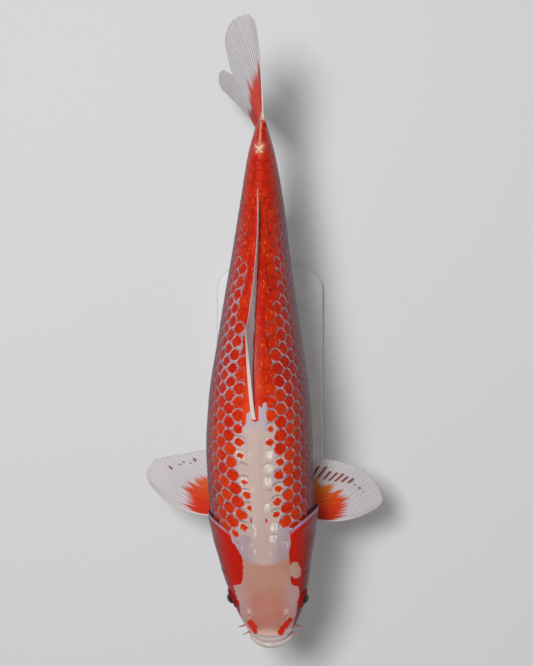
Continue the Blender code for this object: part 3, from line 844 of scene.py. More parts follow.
def angleAt(station, arc):
    # elevation where the ring has run this far from the flank; past the back it goes down the other side
    result = np.zeros(np.broadcast(station, arc).shape)
    row = np.clip((station - arcStations[0]) / (arcStations[1] - arcStations[0]), 0, len(arcStations) - 1.001)
    for way in (1, -1):
        share = arc * way / ringLength(station, way)
        beyond = share > 1
        folded = np.clip(np.where(beyond, 2 - share, share), 0, 1)
        i, j = row.astype(int), np.minimum((folded * 120).astype(int), 119)
        a, b = row - i, folded * 120 - j
        table = arcAngles[way]
        here = table[i, j] * (1 - b) + table[i, j + 1] * b
        after = table[i + 1, j] * (1 - b) + table[i + 1, j + 1] * b
        found = here * (1 - a) + after * a
        found = np.where(beyond, 180 - found, found)
        result = np.where(arc * way > 0, way * found, result)
    return result


def lattice():
    # stations one pitch apart along the body
    station, stops = scales["first"], []
    while station < scales["last"]:
        stops.append(station)
        station += smoothRow(scales["along"], 1, station)
    return np.array(stops)


def platePlaces(side, rows):
    # a brick lattice: stations along the body and rows of equal arc round it, clear of the head and the ridge
    stops = lattice()
    column = np.arange(len(stops) * 2 - 1) / 2.0
    station, row = np.meshgrid(np.interp(column, np.arange(len(stops)), stops), rows, indexing="ij")
    index = column[:, None] + np.zeros_like(station)
    top, bottom = ringLength(station, 1), ringLength(station, -1)
    if len(rows) == 1:
        # the single row along the back or the belly
        arc = top if rows[0] > 0 else -bottom
        keep = (index % 1 == 0.0) & ((arc < 0) | (station > scales["finTo"]))
    else:
        pitch = smoothRow(scales["rows"], 1, station)
        arc = row * pitch
        keep = np.abs((index * 2) % 2 - np.abs(row) % 2) < 0.1
        keep &= (arc < top - scales["gap"] * pitch) & (arc > -bottom + scales["gap"] * pitch)
    elevation = angleAt(station, arc)
    angle = np.where(side > 0, elevation, 180 - elevation)
    border = headEdge(angle)
    keep &= (station > border + scales["clear"]) & (smoothBack(station - 0.005, angle) < 0.75)
    return [values[keep] for values in (station, row, index, arc, angle, border, top)]


def plateLift(u, v, out, station, angle, away, luck):
    # how far each point of each plate is off the body. out is its share of the plate's full length, and away is 0
    # in the white and 1 clear of it
    tilt = (0.92 + 0.16 * luck[:, 1])[:, None]
    # the plates of the tail stem lie nearly flat
    tilt = tilt * (1 - 0.55 * ramp(0.40, 0.46, station))[:, None]
    # and so do the white ones behind the nape
    tilt = tilt * (0.2 + 0.8 * away)[:, None]
    lift = -body["coatDepth"] * 1.03 + scales["rise"] * tilt * np.clip(out, 0, 1) ** 1.15
    lift = lift + 0.00022 * (1 - u**2) * ramp(0, 0.6, v) - 0.00016 * ramp(0.8, 1, v)
    lift = lift + 0.00030 * (luck[:, 2:3] - 0.5) * u * v
    # plates next to the smooth ridge lie flatter, half under its skin, and slip under it on their inner side
    near = smoothBack(station - 0.004, angle)[:, None]
    lift = lift - 0.0005 * near * (0.4 + 0.6 * v)
    lift = lift - 0.0005 * np.clip(near * 3, 0, 1) * np.clip(u, 0, 1) ** 1.5
    return lift - 0.00022 * (1 - away)[:, None] * v * (0.4 + 0.6 * u**2)


def plateFaces(across, along):
    # one plate's faces, with a skirt below its sides and rear edge, and the points of that rim
    sides = np.arange(along)
    rearEdge = np.arange(1, across - 1) * along + along - 1
    rim = np.concatenate([sides, rearEdge, (across - 1) * along + sides[::-1]])
    edge = np.arange(len(rim) - 1)
    under = across * along + edge
    wall = np.stack([rim[edge], rim[edge + 1], under + 1, under], axis=-1)
    return rim, np.concatenate([gridFaces(across, along), wall])


def makeScales(name, side, rows):
    # solid plates: u runs across each and v from its front to its rear edge
    station, row, index, arc, angle, border, top = platePlaces(side, rows)
    count = len(station)
    luck = np.random.default_rng(scales["seed"] + int(side) + len(rows)).random((count, 5))
    pitchAlong = smoothRow(scales["along"], 1, station) * (1 + 0.05 * (luck[:, 0] - 0.5))
    pitchAcross = smoothRow(scales["rows"], 1, station)
    middle = station - pitchAlong * 0.5
    elevation = foldAngle(angle)[0]
    length = np.minimum(pitchAlong * scales["length"], np.maximum(station - border + 0.0015, 0.004))[:, None]
    across, along = scales["steps"]
    u, v = np.meshgrid(np.linspace(-1, 1, across), np.linspace(0, 1, along), indexing="ij")
    u, v = u.ravel(), v.ravel()
    # straight sides, and a rear edge that is most of an ellipse
    sag = 1 - (1 - np.abs(u) ** 2.1) ** (1 / 2.1)
    rear = np.maximum(-scales["curve"] * pitchAlong[:, None] * sag, -length * 0.9)
    back = -length + (length + rear) * v
    width = scales["halfWidth"] * pitchAcross[:, None] * (u * (0.86 + 0.14 * v))
    # beside the back fin a plate stops at the middle line
    beside = (station > scales["finFrom"]) & (station < scales["finTo"])
    room = np.clip((top - arc - 0.0004) / (scales["halfWidth"] * pitchAcross), 0.1, 1)
    width = np.where(u > 0, width * np.where(beside, room, 1)[:, None], width)
    away = np.clip(pastWhite(*planPlace(middle, angle)) / 24.0 + 0.2, 0, 1)
    away = np.where(elevation > marks["topFrom"], np.maximum(away, ramp(0.205, 0.225, station)), 1.0)
    out = 1 + back / (pitchAlong[:, None] * scales["length"])
    lift = plateLift(u, v, out, station, angle, away, luck)

    def onBody(alongShift, acrossShift, height):
        at = station[:, None] + alongShift
        turned = angleAt(at, arc[:, None] + acrossShift)
        return skinPoint(at, np.where(side > 0, turned, 180 - turned), height)

    rim, faces = plateFaces(across, along)
    skirt = onBody(back[:, rim] + 0.00005, width[:, rim] * 1.004, lift[:, rim] - scales["skirt"])
    points = np.concatenate([onBody(back, width, lift), skirt], axis=1)
    perScale = points.shape[1]
    faces = faces[:, ::-1] if side < 0 else faces
    allFaces = (faces[None] + (np.arange(count) * perScale)[:, None, None]).reshape(-1, 4)
    piece = meshFrom(name, points, allFaces.tolist())

    spot, net = scalePaint(middle, angle, luck[:, 4])
    spot = spot * np.where(spot > 0.9, 0.92 + 0.16 * luck[:, 3], 1.0)
    planS, planX = planPlace(station, angle)
    values = {"spot": spot, "net": net, "luck": luck[:, 0]}
    values.update({"elevation": elevation, "station": planS, "across": planX})
    for key, value in values.items():
        setAttribute(piece, key, np.repeat(value, perScale))
    localX = np.concatenate([width, width[:, rim]], axis=1) / pitchAcross[:, None]
    localY = np.concatenate([back, back[:, rim]], axis=1) / pitchAlong[:, None]
    setMap(piece, "scaleMap", cornersOf(piece, np.stack([localX.ravel(), localY.ravel()], axis=-1)))
    # the bake map: one cell for each scale, at its own column and row of the unwrapped side
    cellU = np.floor(index)[:, None] - np.floor(index).min()
    cellV = (row - row.min())[:, None]
    inU, inV = v * 0.84 + 0.08, u * 0.42 + 0.5
    inU = np.concatenate([inU, np.clip(inU[rim] * 1.1 - 0.05, 0.01, 0.985)])
    inV = np.concatenate([inV, inV[rim] * 1.12 - 0.06])
    bake = np.stack([(cellU + inU) / (cellU.max() + 1), (cellV + inV) / (cellV.max() + 1)], axis=-1)
    setMap(piece, "OFBake", cornersOf(piece, bake.reshape(-1, 2)))
    return piece


def scaleMaterial():
    made, tree = newMaterial("koiScalePaint")
    station, across, elevation = attributes(tree, "station", "across", "elevation")
    spot, net, luck = attributes(tree, "spot", "net", "luck")
    x, y, _ = parts(node(tree, "ShaderNodeUVMap", {}, uv_map="scaleMap"))
    wander = (objectNoise(tree, 330, 3) - 0.5) * 0.60 + (objectNoise(tree, 900, 2) - 0.5) * 0.50
    # distance from the middle of the part that shows, 1 at a full spot's edge
    away = (abs(x / 0.67) ** 1.6 + abs((y + 0.55) / 0.48) ** 1.6) ** 0.625
    # and the same towards the plate's own rear edge, 1 on it
    toRear = larger((y + scales["curve"]) / scales["curve"], 0.0)
    edge = (abs(x / 0.86) ** 1.7 + toRear**1.7) ** 0.588
    # smaller spots, and so a broader net, beside the front half of the back fin
    broad = softStep(station, 235.0, 265.0) * softStep(station, 385.0, 330.0) * softStep(across, -6.0, -14.0)
    size = (spot * 0.80 + 0.26 - broad * 0.16) * (spot > 0.18)
    ragged = arithmetic("MINIMUM", size - away, (0.90 - edge) * 1.6) + wander
    covered = softStep(spot, 0.3, 0.8)
    # where the net is weak the red runs over the whole scale
    over = softStep((1.0 - net) * covered + wander * 0.7, 0.15, 0.85)
    mask = larger(softStep(ragged, -0.09, 0.10), over)
    mottle = objectNoise(tree, 120, 4, 0.6)
    red = blendColour(softStep(luck * 0.25 + mottle * 0.8, 0.25, 0.80), paint["red"], paint["orange"])
    red = withRearShade(red, station)
    # darker specks, and painted shade that darkens the flank
    speck = softStep(objectNoise(tree, 480, 4, 0.7), 0.48, 0.66) * 0.55
    red = blendColour(speck * net, red, paint["deepRed"])
    flankShade = softStep(elevation, 56.0, 12.0) * (softStep(elevation, -45.0, 0.0) * 0.5 + 0.5)
    flankShade = flankShade * (softStep(station, 480.0, 420.0) * 0.8 + 0.2)
    red = blendColour(flankShade * 0.92, red, paint["deepRed"])
    pale = blendColour(softStep(mottle, 0.42, 0.75), paint["white"], paint["net"])
    ground = blendColour(covered, withNape(pale, station, across), paint["net"])
    # the same painted shade on the flank's net
    ground = blendColour(flankShade * 0.9, ground, paint["netShade"])
    ground = blendColour(softStep(elevation, -25.0, -60.0), ground, paint["belly"])
    # fine rays fan out across each scale
    fan = noise(joined(x / (1.6 - y), y * 0.05, luck), 46.0, 2.0)
    # pearly fans of painted sheen on some plates beside the smooth ridge
    pearlSheen = softStep(fan, 0.42, 0.58) * softStep(luck, 0.25, 0.55) * softStep(abs(x), 0.46, 0.22)
    pearlSheen = pearlSheen * softStep(y, -0.95, -0.6) * softStep(y, -0.06, -0.25)
    pearlSheen = pearlSheen * softStep(abs(across), 26.0, 14.0) * softStep(station, 215.0, 195.0)
    ground = blendColour(pearlSheen * 0.95, ground, paint["pearlSheen"])
    values = {
        "Base Color": withGlints(blendColour(mask, ground, red), station, across),
        "Roughness": fan * 0.25 + 0.22,
        "Specular IOR Level": 0.09,
        "Coat Weight": 0.07,
        "Coat Roughness": 0.06,
    }
    return finishMaterial(made, values, (fan * (covered * 0.5 + 0.4), 0.20, 0.0006))


scalePaintwork = scaleMaterial()
coatPieces = [
    makeScales("koiScalesLeft", 1, np.arange(-9, 9)),
    makeScales("koiScalesRight", -1, np.arange(-9, 9)),
    makeScales("koiScalesBack", 1, np.array([9])),
    makeScales("koiScalesBelly", 1, np.array([-9])),
]
for coat in coatPieces:
    coat.data.materials.append(scalePaintwork)
    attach(coat, "root")
    print(coat.name, len(coat.data.polygons))

lipBow = {
    "halfWidth": 0.0205,
    "front": 0.0033,
    "depth": 0.0135,
    "corner": 82.0,
    # height and radius, each in the middle and at the corners
    "upper": {
        "name": "upperLip", "node": "upper_lip", "height": (-0.0062, -0.0128), "radius": (0.0031, 0.0012),
    },
    "lower": {
        "name": "lowerLip", "node": "lower_lip", "height": (-0.0126, -0.0160), "radius": (0.0028, 0.0011),
    },
}


def tubeAlong(points, radius, sides, ends=4):
    # rings round a path, square to it, closed with round ends
    along = unit(np.gradient(points, axis=0))
    aside = unit(np.cross(along, np.array([0.0, 0.0, 1.0])))
    over = np.cross(aside, along)
    turn = np.linspace(0, 2 * math.pi, sides, endpoint=False)
    ring = np.cos(turn)[None, :, None] * aside[:, None] + np.sin(turn)[None, :, None] * over[:, None]
    rounding = np.sin(np.linspace(0.08, 1, ends) * math.pi / 2)
    fade = np.ones(len(points))
    fade[:ends], fade[-ends:] = rounding, rounding[::-1]
    rings = points[:, None] + ring * (radius * fade)[:, None, None]
    return closeEnds(rings, [rings[0].mean(axis=0), rings[-1].mean(axis=0)])


def outwards(piece):
    # turns every face of a closed piece outwards
    mesh = bmesh.new()
    mesh.from_mesh(piece.data)
    bmesh.ops.recalc_face_normals(mesh, faces=mesh.faces)
    mesh.to_mesh(piece.data)
    mesh.free()
    return piece


def makeLip(shape):
    # a tube bowed round the mouth, thinner and lower at its corners
    turn = np.radians(np.linspace(-lipBow["corner"], lipBow["corner"], 71))
    toCorner = 1 - (np.cos(turn) - np.cos(turn[0])) / (1 - np.cos(turn[0]))
    height, radius = (at + (corner - at) * toCorner for at, corner in (shape["height"], shape["radius"]))
    station = lipBow["front"] + lipBow["depth"] * (1 - np.cos(turn))
    x = middleLine(0.01) + lipBow["halfWidth"] * np.sin(turn)
    path = np.stack([x, station - body["balance"], body["axisHeight"] + height], axis=-1)
    return outwards(meshFrom(shape["name"], *tubeAlong(path, radius, 22, ends=6)))


def softMaterial(name, base, second, scale, rough):
    made, tree = newMaterial(name)
    mottle = softStep(objectNoise(tree, scale, 4), 0.35, 0.7)
    values = {
        "Base Color": blendColour(mottle, base, second),
        "Roughness": objectNoise(tree, scale * 3, 3) * 0.2 + rough,
        "Coat Weight": 0.25,
        "Coat Roughness": 0.15,
    }
    return finishMaterial(made, values, (objectNoise(tree, 900, 3), 0.2, 0.0006))


lipPaint = softMaterial("lipPaint", paint["lip"], paint["lipPale"], 220, 0.46)
for shape in (lipBow["upper"], lipBow["lower"]):
    lip = makeLip(shape)
    lip.data.materials.append(lipPaint)
    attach(lip, "root")
    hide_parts(shape["node"])
print("lips")

barbels = {
    "upper": {
        "node": "upper_barbel",
        # station, half spread, height
        "root": (0.0165, 0.0188, -0.0070),
        "length": 0.011,
        "droop": 28.0,
        "forward": 34.0,
        "radius": 0.0009,
    },
    "lower": {
        "node": "lower_barbel",
        "root": (0.0215, 0.0206, -0.0165),
        "length": 0.017,
        "droop": 42.0,
        "forward": 26.0,
        "radius": 0.0012,
    },
}


def makeBarbel(key, word, side):
    shape = barbels[key]
    station, aside, height = shape["root"]
    share = np.linspace(-0.25, 1, 30)
    droop = np.radians(shape["droop"] * (0.5 + share / 2))
    forward = math.radians(shape["forward"])
    level = np.cos(droop)
    along = np.stack([side * math.cos(forward) * level, -math.sin(forward) * level, -np.sin(droop)], axis=-1)
    path = placeAt(station, side * aside, height) + along * (share * shape["length"])[:, None]
    # thinner towards the tip, with a swelling at the root
    radius = shape["radius"] * (1 - 0.55 * np.clip(share, 0, 1) + 0.5 * bump(share + 0.05, 0.18))
    return outwards(meshFrom(key + "Barbel" + word.capitalize(), *tubeAlong(path, radius, 14)))


barbelPaint = softMaterial("barbelPaint", colour(196, 96, 80), colour(214, 150, 138), 400, 0.32)
for key in ("upper", "lower"):
    for word, side in (("left", 1), ("right", -1)):
        feeler = makeBarbel(key, word, side)
        feeler.data.materials.append(barbelPaint)
        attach(feeler, "root")
        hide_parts(f"{barbels[key]['node']}_{word}")
print("barbels")

eyeball = {"size": 0.985, "pupil": 33.0, "iris": 58.0, "cornea": 0.00035, "upturn": 6.0, "forward": 6.0}


def makeEye(word, side):
    # a ball whose pole looks outwards, a little up and forwards; the cornea swells over the pupil
    rows, columns = 48, 64
    polar = np.radians(np.linspace(0, 180, rows))[1:-1]
    turn = np.linspace(0, 2 * math.pi, columns, endpoint=False)
    ball = skin["eye"][3] * eyeball["size"]
    radius = ball + eyeball["cornea"] * bump(np.degrees(polar), 40)
    up, forward = math.radians(eyeball["upturn"]), math.radians(eyeball["forward"])
    out = np.array([side * math.cos(up) * math.cos(forward), -math.sin(forward) * math.cos(up), math.sin(up)])
    aside = unit(np.cross(out, np.array([0.0, 0.0, 1.0])))
    over = np.cross(aside, out)
    ring = np.cos(turn)[:, None] * aside + np.sin(turn)[:, None] * over
    centre = eyeCentre(side)
    toPole, toRim = np.cos(polar)[:, None, None], np.sin(polar)[:, None, None]
    points = centre + radius[:, None, None] * (toPole * out + toRim * ring[None])
    ends = [centre + out * (ball + eyeball["cornea"]), centre - out * ball]
    piece = outwards(meshFrom("eye" + word.capitalize(), *closeEnds(points, ends)))
    setAttribute(piece, "polar", np.concatenate([np.repeat(np.degrees(polar), columns), [0, 180]]))
    return piece


def eyeMaterial():
    made, tree = newMaterial("eyePaint")
    (polar,) = attributes(tree, "polar")
    streaks = objectNoise(tree, 1500, 3)
    shade = blendColour(softStep(streaks, 0.4, 0.65), colour(46, 28, 24), colour(96, 66, 44))
    shade = blendColour(softStep(polar + (streaks - 0.5) * 7.0, 40.0, 52.0), shade, colour(30, 18, 16))
    # the ball behind the iris, the gold ring and the pupil
    shade = blendColour(softStep(polar, eyeball["iris"], eyeball["iris"] + 14), shade, colour(44, 14, 12))
    ring = softStep(abs(polar - (eyeball["pupil"] + 1.5)), 2.2, 0.5)
    shade = blendColour(ring, shade, colour(176, 134, 84))
    pupil = softStep(polar, eyeball["pupil"] + 0.6, eyeball["pupil"] - 0.6)
    values = {
        "Base Color": blendColour(pupil, shade, (0.004, 0.004, 0.005)),
        "Roughness": 0.12,
        "Specular IOR Level": 0.3,
        "Coat Weight": 0.35,
        "Coat Roughness": 0.02,
    }
    return finishMaterial(made, values)


eyePaint = eyeMaterial()
for word, side in (("left", 1), ("right", -1)):
    eye = makeEye(word, side)
    eye.data.materials.append(eyePaint)
    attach(eye, "root")
    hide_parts("eye_" + word)
print("eyes")

finBuild = {
    "rootDepth": 0.004,
    "bend": 1.5,
    "ray": 0.00095,
    "web": 0.00042,
    "edge": 0.30,
    "rows": 64,
    "perRay": 8,
    "seed": 5,
}
pelvic = {
    "turn": (56.0, 78.0),
    "curl": (14.0, 14.0),
    "length": (0.058, 0.060, 0.052, 0.040),
    "sway": (-0.0020, -0.0040, -0.0020),
    "rays": 9,
    "spine": 0.0005,
    "reach": (0.06, 0.12),
    "warmth": (1.0, 1.0),
}
# reach: how far along the rays the red runs; warmth: 0 red, 1 orange, below 0 deep red; flecks: their place and
# half length along a ray
fins = {
    "dorsal": {
        "node": "dorsal_fin",
        "root": ((0.2100, 90.0), (0.4020, 90.0)),
        "rise": (-0.087, 0.0, 1.0),
        "turn": (64.0, 65.0),
        "curl": (10.0, 8.0),
        "length": (0.1010, 0.070, 0.049, 0.042, 0.037, 0.034, 0.032),
        "sway": (-0.0036, -0.0034, -0.0014, 0.0010, 0.0012, 0.0012, 0.0010),
        "bend": 0.8,
        "rays": 20,
        "spine": 0.0029,
        "swell": 0.0007,
        "lead": 0.030,
        "reach": (0.06, 0.30, 0.34, 0.30, 0.28, 0.28),
        "warmth": (0.1, 0.1),
        "fleckAt": (0.22, 0.20, 0.5, 0.5),
    },
    "anal": {
        "node": "anal_fin",
        "root": ((0.3720, -90.0), (0.4030, -90.0)),
        "rise": (-0.10, 0.0, -1.0),
        "turn": (42.0, 58.0),
        "curl": (12.0, 12.0),
        "length": (0.062, 0.056, 0.046, 0.036),
        "sway": (-0.0030, -0.0060, -0.0040),
        "rays": 7,
        "spine": 0.0006,
        "reach": (0.10, 0.16),
        "warmth": (1.0, 1.0),
    },
    "pectoralRight": {
        "node": "pectoral_fin_right",
        "root": ((0.1245, 230.0), (0.1365, 237.0)),
        "rise": (-1.0, 0.0, -0.20),
        "turn": (-23.0, -13.0, -1.0, 11.0, 26.0, 48.0),
        "curl": (76.0, 20.0),
        "length": (0.089, 0.0965, 0.0945, 0.0825, 0.068, 0.054),
        "sway": (-0.0010, -0.0060, -0.0050),
        "rays": 17,
        "spine": 0.0006,
        "reach": (0.30, 0.50, 0.52, 0.54, 0.57, 0.60, 0.62, 0.62, 0.60, 0.56, 0.52),
        "warmth": (0.15, 0.25, 0.42, 0.60, 0.75),
        "fleckAt": (0.84, 0.86),
        "fleckHalf": (0, 0, 0, 0, 0, 0, 0, 0, 0, 0.030, 0, 0.012, 0.012, 0.014, 0.030, 0, 0, 0),
    },
    "pectoralLeft": {
        "node": "pectoral_fin_left",
        "root": ((0.1250, -50.0), (0.1370, -57.0)),
        "rise": (1.0, 0.0, -0.20),
        "turn": (-33.0, -25.0, -11.0, 5.5, 23.0, 50.0),
        "curl": (70.0, 20.0),
        "length": (0.080, 0.086, 0.083, 0.0735, 0.060, 0.042),
        "sway": (-0.0010, -0.0060, -0.0050),
        "rays": 17,
        "spine": 0.0006,
        "reach": (0.36, 0.50, 0.56, 0.60, 0.62, 0.62, 0.60, 0.58, 0.56, 0.55, 0.54),
        "warmth": (0.10, 0.25, 0.50, 0.85, 1.10),
        "fleckAt": (0.80, 0.80, 0.80, 0.80, 0.80, 0.78, 0.74, 0.71, 0.69),
        "fleckHalf": (0, 0, 0, 0, 0, 0, 0, 0.006, 0.014, 0.010, 0.05, 0.07, 0.10, 0.12, 0.12, 0.12, 0.12, 0.10),
    },
    "pelvicRight": {
        **pelvic,
        "node": "pelvic_fin_right",
        "root": ((0.2200, 248.0), (0.2320, 240.0)),
        "rise": (-1.0, 0.0, -0.75),
    },
    "pelvicLeft": {
        **pelvic,
        "node": "pelvic_fin_left",
        "root": ((0.2200, -68.0), (0.2320, -60.0)),
        "rise": (1.0, 0.0, -0.75),
    },
}
tailFin = {
    "rootHeight": (0.0290, -0.0290),
    "rootShift": (0.0038, -0.0030),
    "pitch": (19.0, 17.0, 12.0, 3.0, -8.0, -18.0, -28.0, -38.0, -46.0),
    "length": (0.095, 0.101, 0.096, 0.078, 0.0535, 0.064, 0.068, 0.073, 0.077),
    "sway": (-0.0052, -0.0122, -0.0260, -0.0340, -0.0290, -0.0390, -0.0435, -0.0445, -0.0420),
    "bend": (3.2, 2.4, 1.8, 1.5, 1.3, 1.2, 1.2, 1.2, 1.2),
    "curl": 6.0,
    "fork": 0.5,
    "slit": 0.006,
    "rays": 10,
    "swell": 0.0016,
    "lobes": {
        "tailUpper": {
            "node": "tail_fin_upper_lobe",
            "lead": 0.11,
            "reach": (0.12, 0.63, 0.55, 0.52, 0.52, 0.51, 0.50, 0.50, 0.50),
            "warmth": (-0.3, -0.1, 0.35, 0.3, -0.1),
        },
        "tailLower": {
            "node": "tail_fin_lower_lobe",
            "leadLast": True,
            "reach": (0.40, 0.38, 0.34, 0.32, 0.30),
            "warmth": (-0.3, -0.1, 0.1),
        },
    },
}


def asideOf(rise):
    # the way a fin bends: sideways on an upright one, up or down on a paired one
    return np.array([1.0, 0.0, 0.0]) if abs(rise[0]) < 0.5 else np.array([0.0, 0.0, 1.0])


def notched(rays, depth):
    # the share of its full length at each column: the edge dips a little between the rays
    phase = np.linspace(0, rays, rays * finBuild["perRay"] + 1)
    return 1 - depth * (1 - np.abs(np.cos(math.pi * phase)))


def finMiddle(root, rise, back, turn, curl, length, sway, bend, run):
    # each ray leaves the root, leans back by its turn and curls on as it runs; the sway bends it aside
    rise, back = unit(np.array(rise, float)), unit(np.array(back, float))
    aim = np.radians(turn)[None] + np.radians(curl)[None] * run / 2
    rays = np.cos(aim)[..., None] * rise + np.sin(aim)[..., None] * back
    swayed = (sway[None] * run ** bend[None])[..., None] * asideOf(rise)
    return root[None] + rays * (length[None] * run)[..., None] + swayed


def halfThickness(share, run, phase, shape):
    # thick at each ray, which parts in two, and thin between; thicker at the root and along the first ray
    stem = np.abs(np.cos(math.pi * phase)) ** 6
    split = np.abs(np.cos(math.pi * (phase * 2 + 0.5))) ** 5
    branch = ramp(0.34, 0.62, run)
    ridge = stem * (1 - branch) + np.maximum(split * 0.85, stem * 0.25) * branch
    taper = (1 - run) * 0.75 + 0.25
    half = finBuild["web"] * (0.55 + 0.45 * taper) + (finBuild["ray"] - finBuild["web"]) * ridge * taper
    half = half + shape.get("spine", 0) * bump(share, 0.018) * (1 - run) ** 0.7
    half = half + shape.get("swell", 0) * (1 - ramp(0.0, 0.20, run))
    half = half * (1 - ramp(0.965, 1.0, run) * (1 - finBuild["edge"]))
    return half * (0.25 + 0.75 * ramp(0, 0.012, np.minimum(share, 1 - share)))


def finSheet(name, middle, rays, shape):
    # two faces either side of the middle sheet, meeting at the edge
    rows, columns = middle.shape[:2]
    share = np.linspace(0, 1, columns)[None]
    run = np.linspace(0, 1, rows)[:, None]
    phase = share * rays
    normal = unit(np.cross(np.gradient(middle, axis=1), np.gradient(middle, axis=0)))
    off = normal * halfThickness(share, run, phase, shape)[..., None]
    ring = np.concatenate([middle + off, (middle - off)[:, ::-1]], axis=1)
    around = 2 * columns
    c = np.arange(columns - 1)
    caps = [np.stack([c, c + 1, around - 2 - c, around - 1 - c], axis=-1) + r * around for r in (0, rows - 1)]
    faces = np.concatenate([gridFaces(rows, around, closed=True), *caps])
    piece = outwards(meshFrom(name, ring, faces.tolist()))

    def bothFaces(values):
        values = np.broadcast_to(values, (rows, columns))
        return np.concatenate([values, values[:, ::-1]], axis=1).ravel()

    # the leading ray is pale and solid
    lead = shape.get("lead", 0.035)
    fromLead = 1 - share if shape.get("leadLast") else share
    setAttribute(piece, "lead", bothFaces(1 - ramp(lead * 0.8, lead * 1.4, fromLead)))
    luck = np.random.default_rng(finBuild["seed"] + len(name)).random(rays + 1)
    perRay = luck[np.round(phase).astype(int)]
    values = {
        "reach": spread(shape["reach"], share),
        "warmth": spread(shape["warmth"], share),
        "fleckAt": spread(shape.get("fleckAt", (0.5, 0.5)), share) + 0.05 * (perRay - 0.5),
        "fleckHalf": spread(shape.get("fleckHalf", (0, 0)), share) * (0.75 + 0.4 * perRay),
    }
    for key, value in values.items():
        setAttribute(piece, key, bothFaces(value))
    setMap(piece, "rayMap", cornersOf(piece, np.stack([bothFaces(phase), bothFaces(run)], axis=-1)))
    # the bake map: one face of the fin on the left half, the other on the right, both from root to edge
    margin = 0.004
    left = margin + share * (0.5 - 2 * margin)
    bakeU = np.broadcast_to(np.concatenate([left, left[:, ::-1] + 0.5], axis=1), (rows, around))
    bakeV = margin + bothFaces(run) * (1 - 2 * margin)
    setMap(piece, "OFBake", cornersOf(piece, np.stack([bakeU.ravel(), bakeV], axis=-1)))
    return piece


def bodyFin(name, shape):
    length = notched(shape["rays"], 0.012)
    columns = len(length)
    share = np.linspace(0, 1, columns)
    run = np.linspace(0, 1, finBuild["rows"])[:, None]
    (first, firstAngle), (last, lastAngle) = shape["root"]
    angle = firstAngle + (lastAngle - firstAngle) * share
    root = skinPoint(first + (last - first) * share, angle, np.full(columns, -finBuild["rootDepth"]))
    turn, curl, reach, sway = (spread(shape[key], share) for key in ("turn", "curl", "length", "sway"))
    bend = np.full(columns, shape.get("bend", finBuild["bend"]))
    middle = finMiddle(root, shape["rise"], (0, 1, 0), turn, curl, reach * length, sway, bend, run)
    # a slow ripple across the rays
    wave = 0.0011 * np.sin(share * 9.0 + 1.0)[None] * run**1.5
    return finSheet(name, middle + wave[..., None] * asideOf(shape["rise"]), shape["rays"], shape)


def tailLobe(name, low, high, shape):
    notch = notched(tailFin["rays"], 0.008)
    columns = len(notch)
    share = np.linspace(low, high, columns)
    run = np.linspace(0, 1, finBuild["rows"] + 14)[:, None]
    shift, height, pitch, length, sway, bend = (
        spread(tailFin[key], share) for key in ("rootShift", "rootHeight", "pitch", "length", "sway", "bend")
    )
    along = np.full(columns, body["end"] - finBuild["rootDepth"] - body["balance"])
    root = np.stack([middleLine(body["end"]) + shift, along, body["axisHeight"] + height], axis=-1)
    curl = np.full(columns, -tailFin["curl"] if high < tailFin["fork"] else tailFin["curl"])
    length = (length + finBuild["rootDepth"]) * notch
    middle = finMiddle(root, (0, 1, 0), (0, 0, -1), -pitch, curl, length, sway, bend, run)
    return finSheet(name, middle, tailFin["rays"], {**shape, "swell": tailFin["swell"]})


def finMaterial():
    made, tree = newMaterial("finPaint")
    reach, warmth, lead = attributes(tree, "reach", "warmth", "lead")
    fleckAt, fleckHalf = attributes(tree, "fleckAt", "fleckHalf")
    u, v, _ = parts(node(tree, "ShaderNodeUVMap", {}, uv_map="rayMap"))

    def lines(times, power, operation):
        return abs(arithmetic(operation, u * (math.pi * times))) ** power

    # one stem for each ray, which parts in two and then in four
    ray = blendValue(softStep(v, 0.30, 0.52), lines(1, 3.0, "COSINE"), lines(2, 2.4, "SINE"))
    ray = blendValue(softStep(v, 0.62, 0.82) * 0.6, ray, lines(4, 2.0, "SINE"))
    joints = (arithmetic("SINE", v * 260.0) > 0.82) * 0.25
    pale = blendColour(ray, colour(202, 195, 203), colour(234, 229, 230))
    pale = blendColour(joints, pale, colour(170, 154, 156))
    # the red runs out along the rays, orange or dark by its warmth
    jitter = (noise(joined(u * 0.6, v * 0.5, warmth), 2.0, 1.0) - 0.5) * 0.36
    red = softStep(reach + jitter + (ray - 0.5) * 0.06 - v, -0.02, 0.06)
    warm = blendColour(softStep(warmth + jitter, 0.2, 1.1), colour(230, 50, 8), colour(244, 138, 20))
    warm = blendColour(softStep(warmth, 0.3, -0.3), warm, colour(166, 22, 18))
    warm = blendColour((1.0 - ray) * softStep(v, 0.10, 0.26) * 0.50, warm, colour(168, 40, 12))
    shade = blendColour(red, pale, warm)
    lead = lead * softStep(v, 0.03, 0.10) * softStep(v, 1.0, 0.55)
    shade = blendColour(lead * 0.85, shade, colour(234, 216, 206))
    fleck = softStep(fleckHalf - abs(v - fleckAt), -0.006, 0.012)
    fleck = fleck * softStep(lines(1, 2.0, "COSINE"), 0.35, 0.7)
    shade = blendColour(fleck * 0.92, shade, colour(142, 44, 20))
    # the web is a little see-through, more so towards the edge
    thick = larger(larger(ray, softStep(v, 0.22, 0.02)), larger(larger(red, fleck), lead))
    values = {
        "Base Color": shade,
        "Alpha": thick * 0.36 + 0.62 - softStep(v, 0.50, 1.0) * 0.16,
        "Roughness": 0.34,
        "Specular IOR Level": 0.25,
    }
    return finishMaterial(made, values, (ray + joints, 0.30, 0.0005))


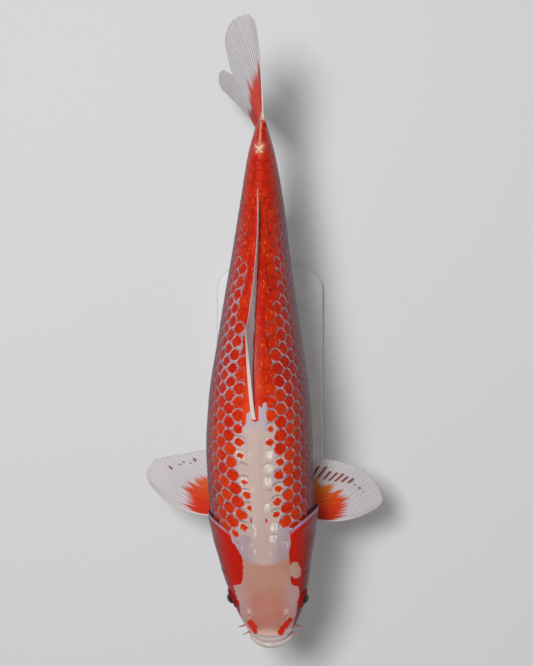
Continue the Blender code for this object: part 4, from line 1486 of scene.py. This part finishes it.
finPaint = finMaterial()
finPieces = [(bodyFin(key + "Fin", shape), shape["node"]) for key, shape in fins.items()]
spans = ((0, tailFin["fork"] - tailFin["slit"] / 2), (tailFin["fork"] + tailFin["slit"] / 2, 1))
for (key, lobe), (low, high) in zip(tailFin["lobes"].items(), spans):
    finPieces.append((tailLobe(key + "Fin", low, high, lobe), lobe["node"]))
for fin, replaced in finPieces:
    fin.data.materials.append(finPaint)
    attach(fin, "root")
    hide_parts(replaced)
print("fins", sum(len(fin.data.polygons) for fin, _ in finPieces))


def paintedMaterial():
    made, tree = newMaterial("standPaint")
    grain = softStep(objectNoise(tree, 60, 4), 0.3, 0.7)
    values = {
        "Base Color": blendColour(grain, colour(206, 208, 210), colour(216, 218, 219)),
        "Roughness": objectNoise(tree, 900, 3) * 0.14 + 0.36,
    }
    return finishMaterial(made, values, (objectNoise(tree, 1400, 2), 0.12, 0.0004))


def steelMaterial():
    made, tree = newMaterial("standSteel")
    brushed = objectNoise(tree, 500, 3, 0.6, stretch=(1, 1, 14))
    values = {
        "Base Color": blendColour(brushed, colour(150, 152, 154), colour(198, 199, 200)),
        "Metallic": 1.0,
        "Roughness": brushed * 0.25 + 0.22,
    }
    return finishMaterial(made, values)


standSteel = steelMaterial()
standPaints = {
    "base": paintedMaterial(),
    "collar": standSteel,
    "rod": standSteel,
    "cup": softMaterial("standPad", colour(96, 96, 98), colour(112, 112, 114), 500, 0.6),
}
for name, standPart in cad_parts.items():
    if name.startswith("stand_"):
        standPart.data.materials.clear()
        standPart.data.materials.append(standPaints[name.split("_")[1]])
print("stand")

studio = {
    "target": (0.0057, 0.066, 0.158),
    "distance": 1.4876,
    "lens": 85.0,
    "tilt": 3.5,
    "keyPlace": (-0.32, 0.40, 2.15),
    "keyPower": 30.0,
    "keySize": 0.50,
    "sky": 0.27,
}


def makeStudio():
    bpy.ops.mesh.primitive_plane_add(size=12, location=(0, 0, 0))
    floor = bpy.context.object
    floor.name = "floor"
    made, _ = newMaterial("floorPaint")
    floor.data.materials.append(finishMaterial(made, {"Base Color": colour(222, 223, 225), "Roughness": 0.7}))
    world = bpy.data.worlds.new("studioSky")
    world.use_nodes = True
    sky = world.node_tree.nodes["Background"]
    feed(sky.inputs["Color"], (1.0, 1.0, 1.0))
    feed(sky.inputs["Strength"], studio["sky"])
    bpy.context.scene.world = world
    target = Vector(studio["target"])
    light = bpy.data.lights.new("key", "AREA")
    light.energy, light.size = studio["keyPower"], studio["keySize"]
    key = bpy.data.objects.new("key", light)
    bpy.context.scene.collection.objects.link(key)
    key.location = studio["keyPlace"]
    key.rotation_euler = (target - key.location).to_track_quat("-Z", "Y").to_euler()
    camera = bpy.data.objects.new("camera", bpy.data.cameras.new("camera"))
    bpy.context.scene.collection.objects.link(camera)
    camera.data.lens = studio["lens"]
    lean = math.radians(studio["tilt"])
    camera.location = target + Vector((math.sin(lean), 0, math.cos(lean))) * studio["distance"]
    camera.rotation_euler = (0, lean, 0)
    bpy.context.scene.camera = camera
    bpy.context.scene.view_settings.view_transform = "Standard"


makeStudio()
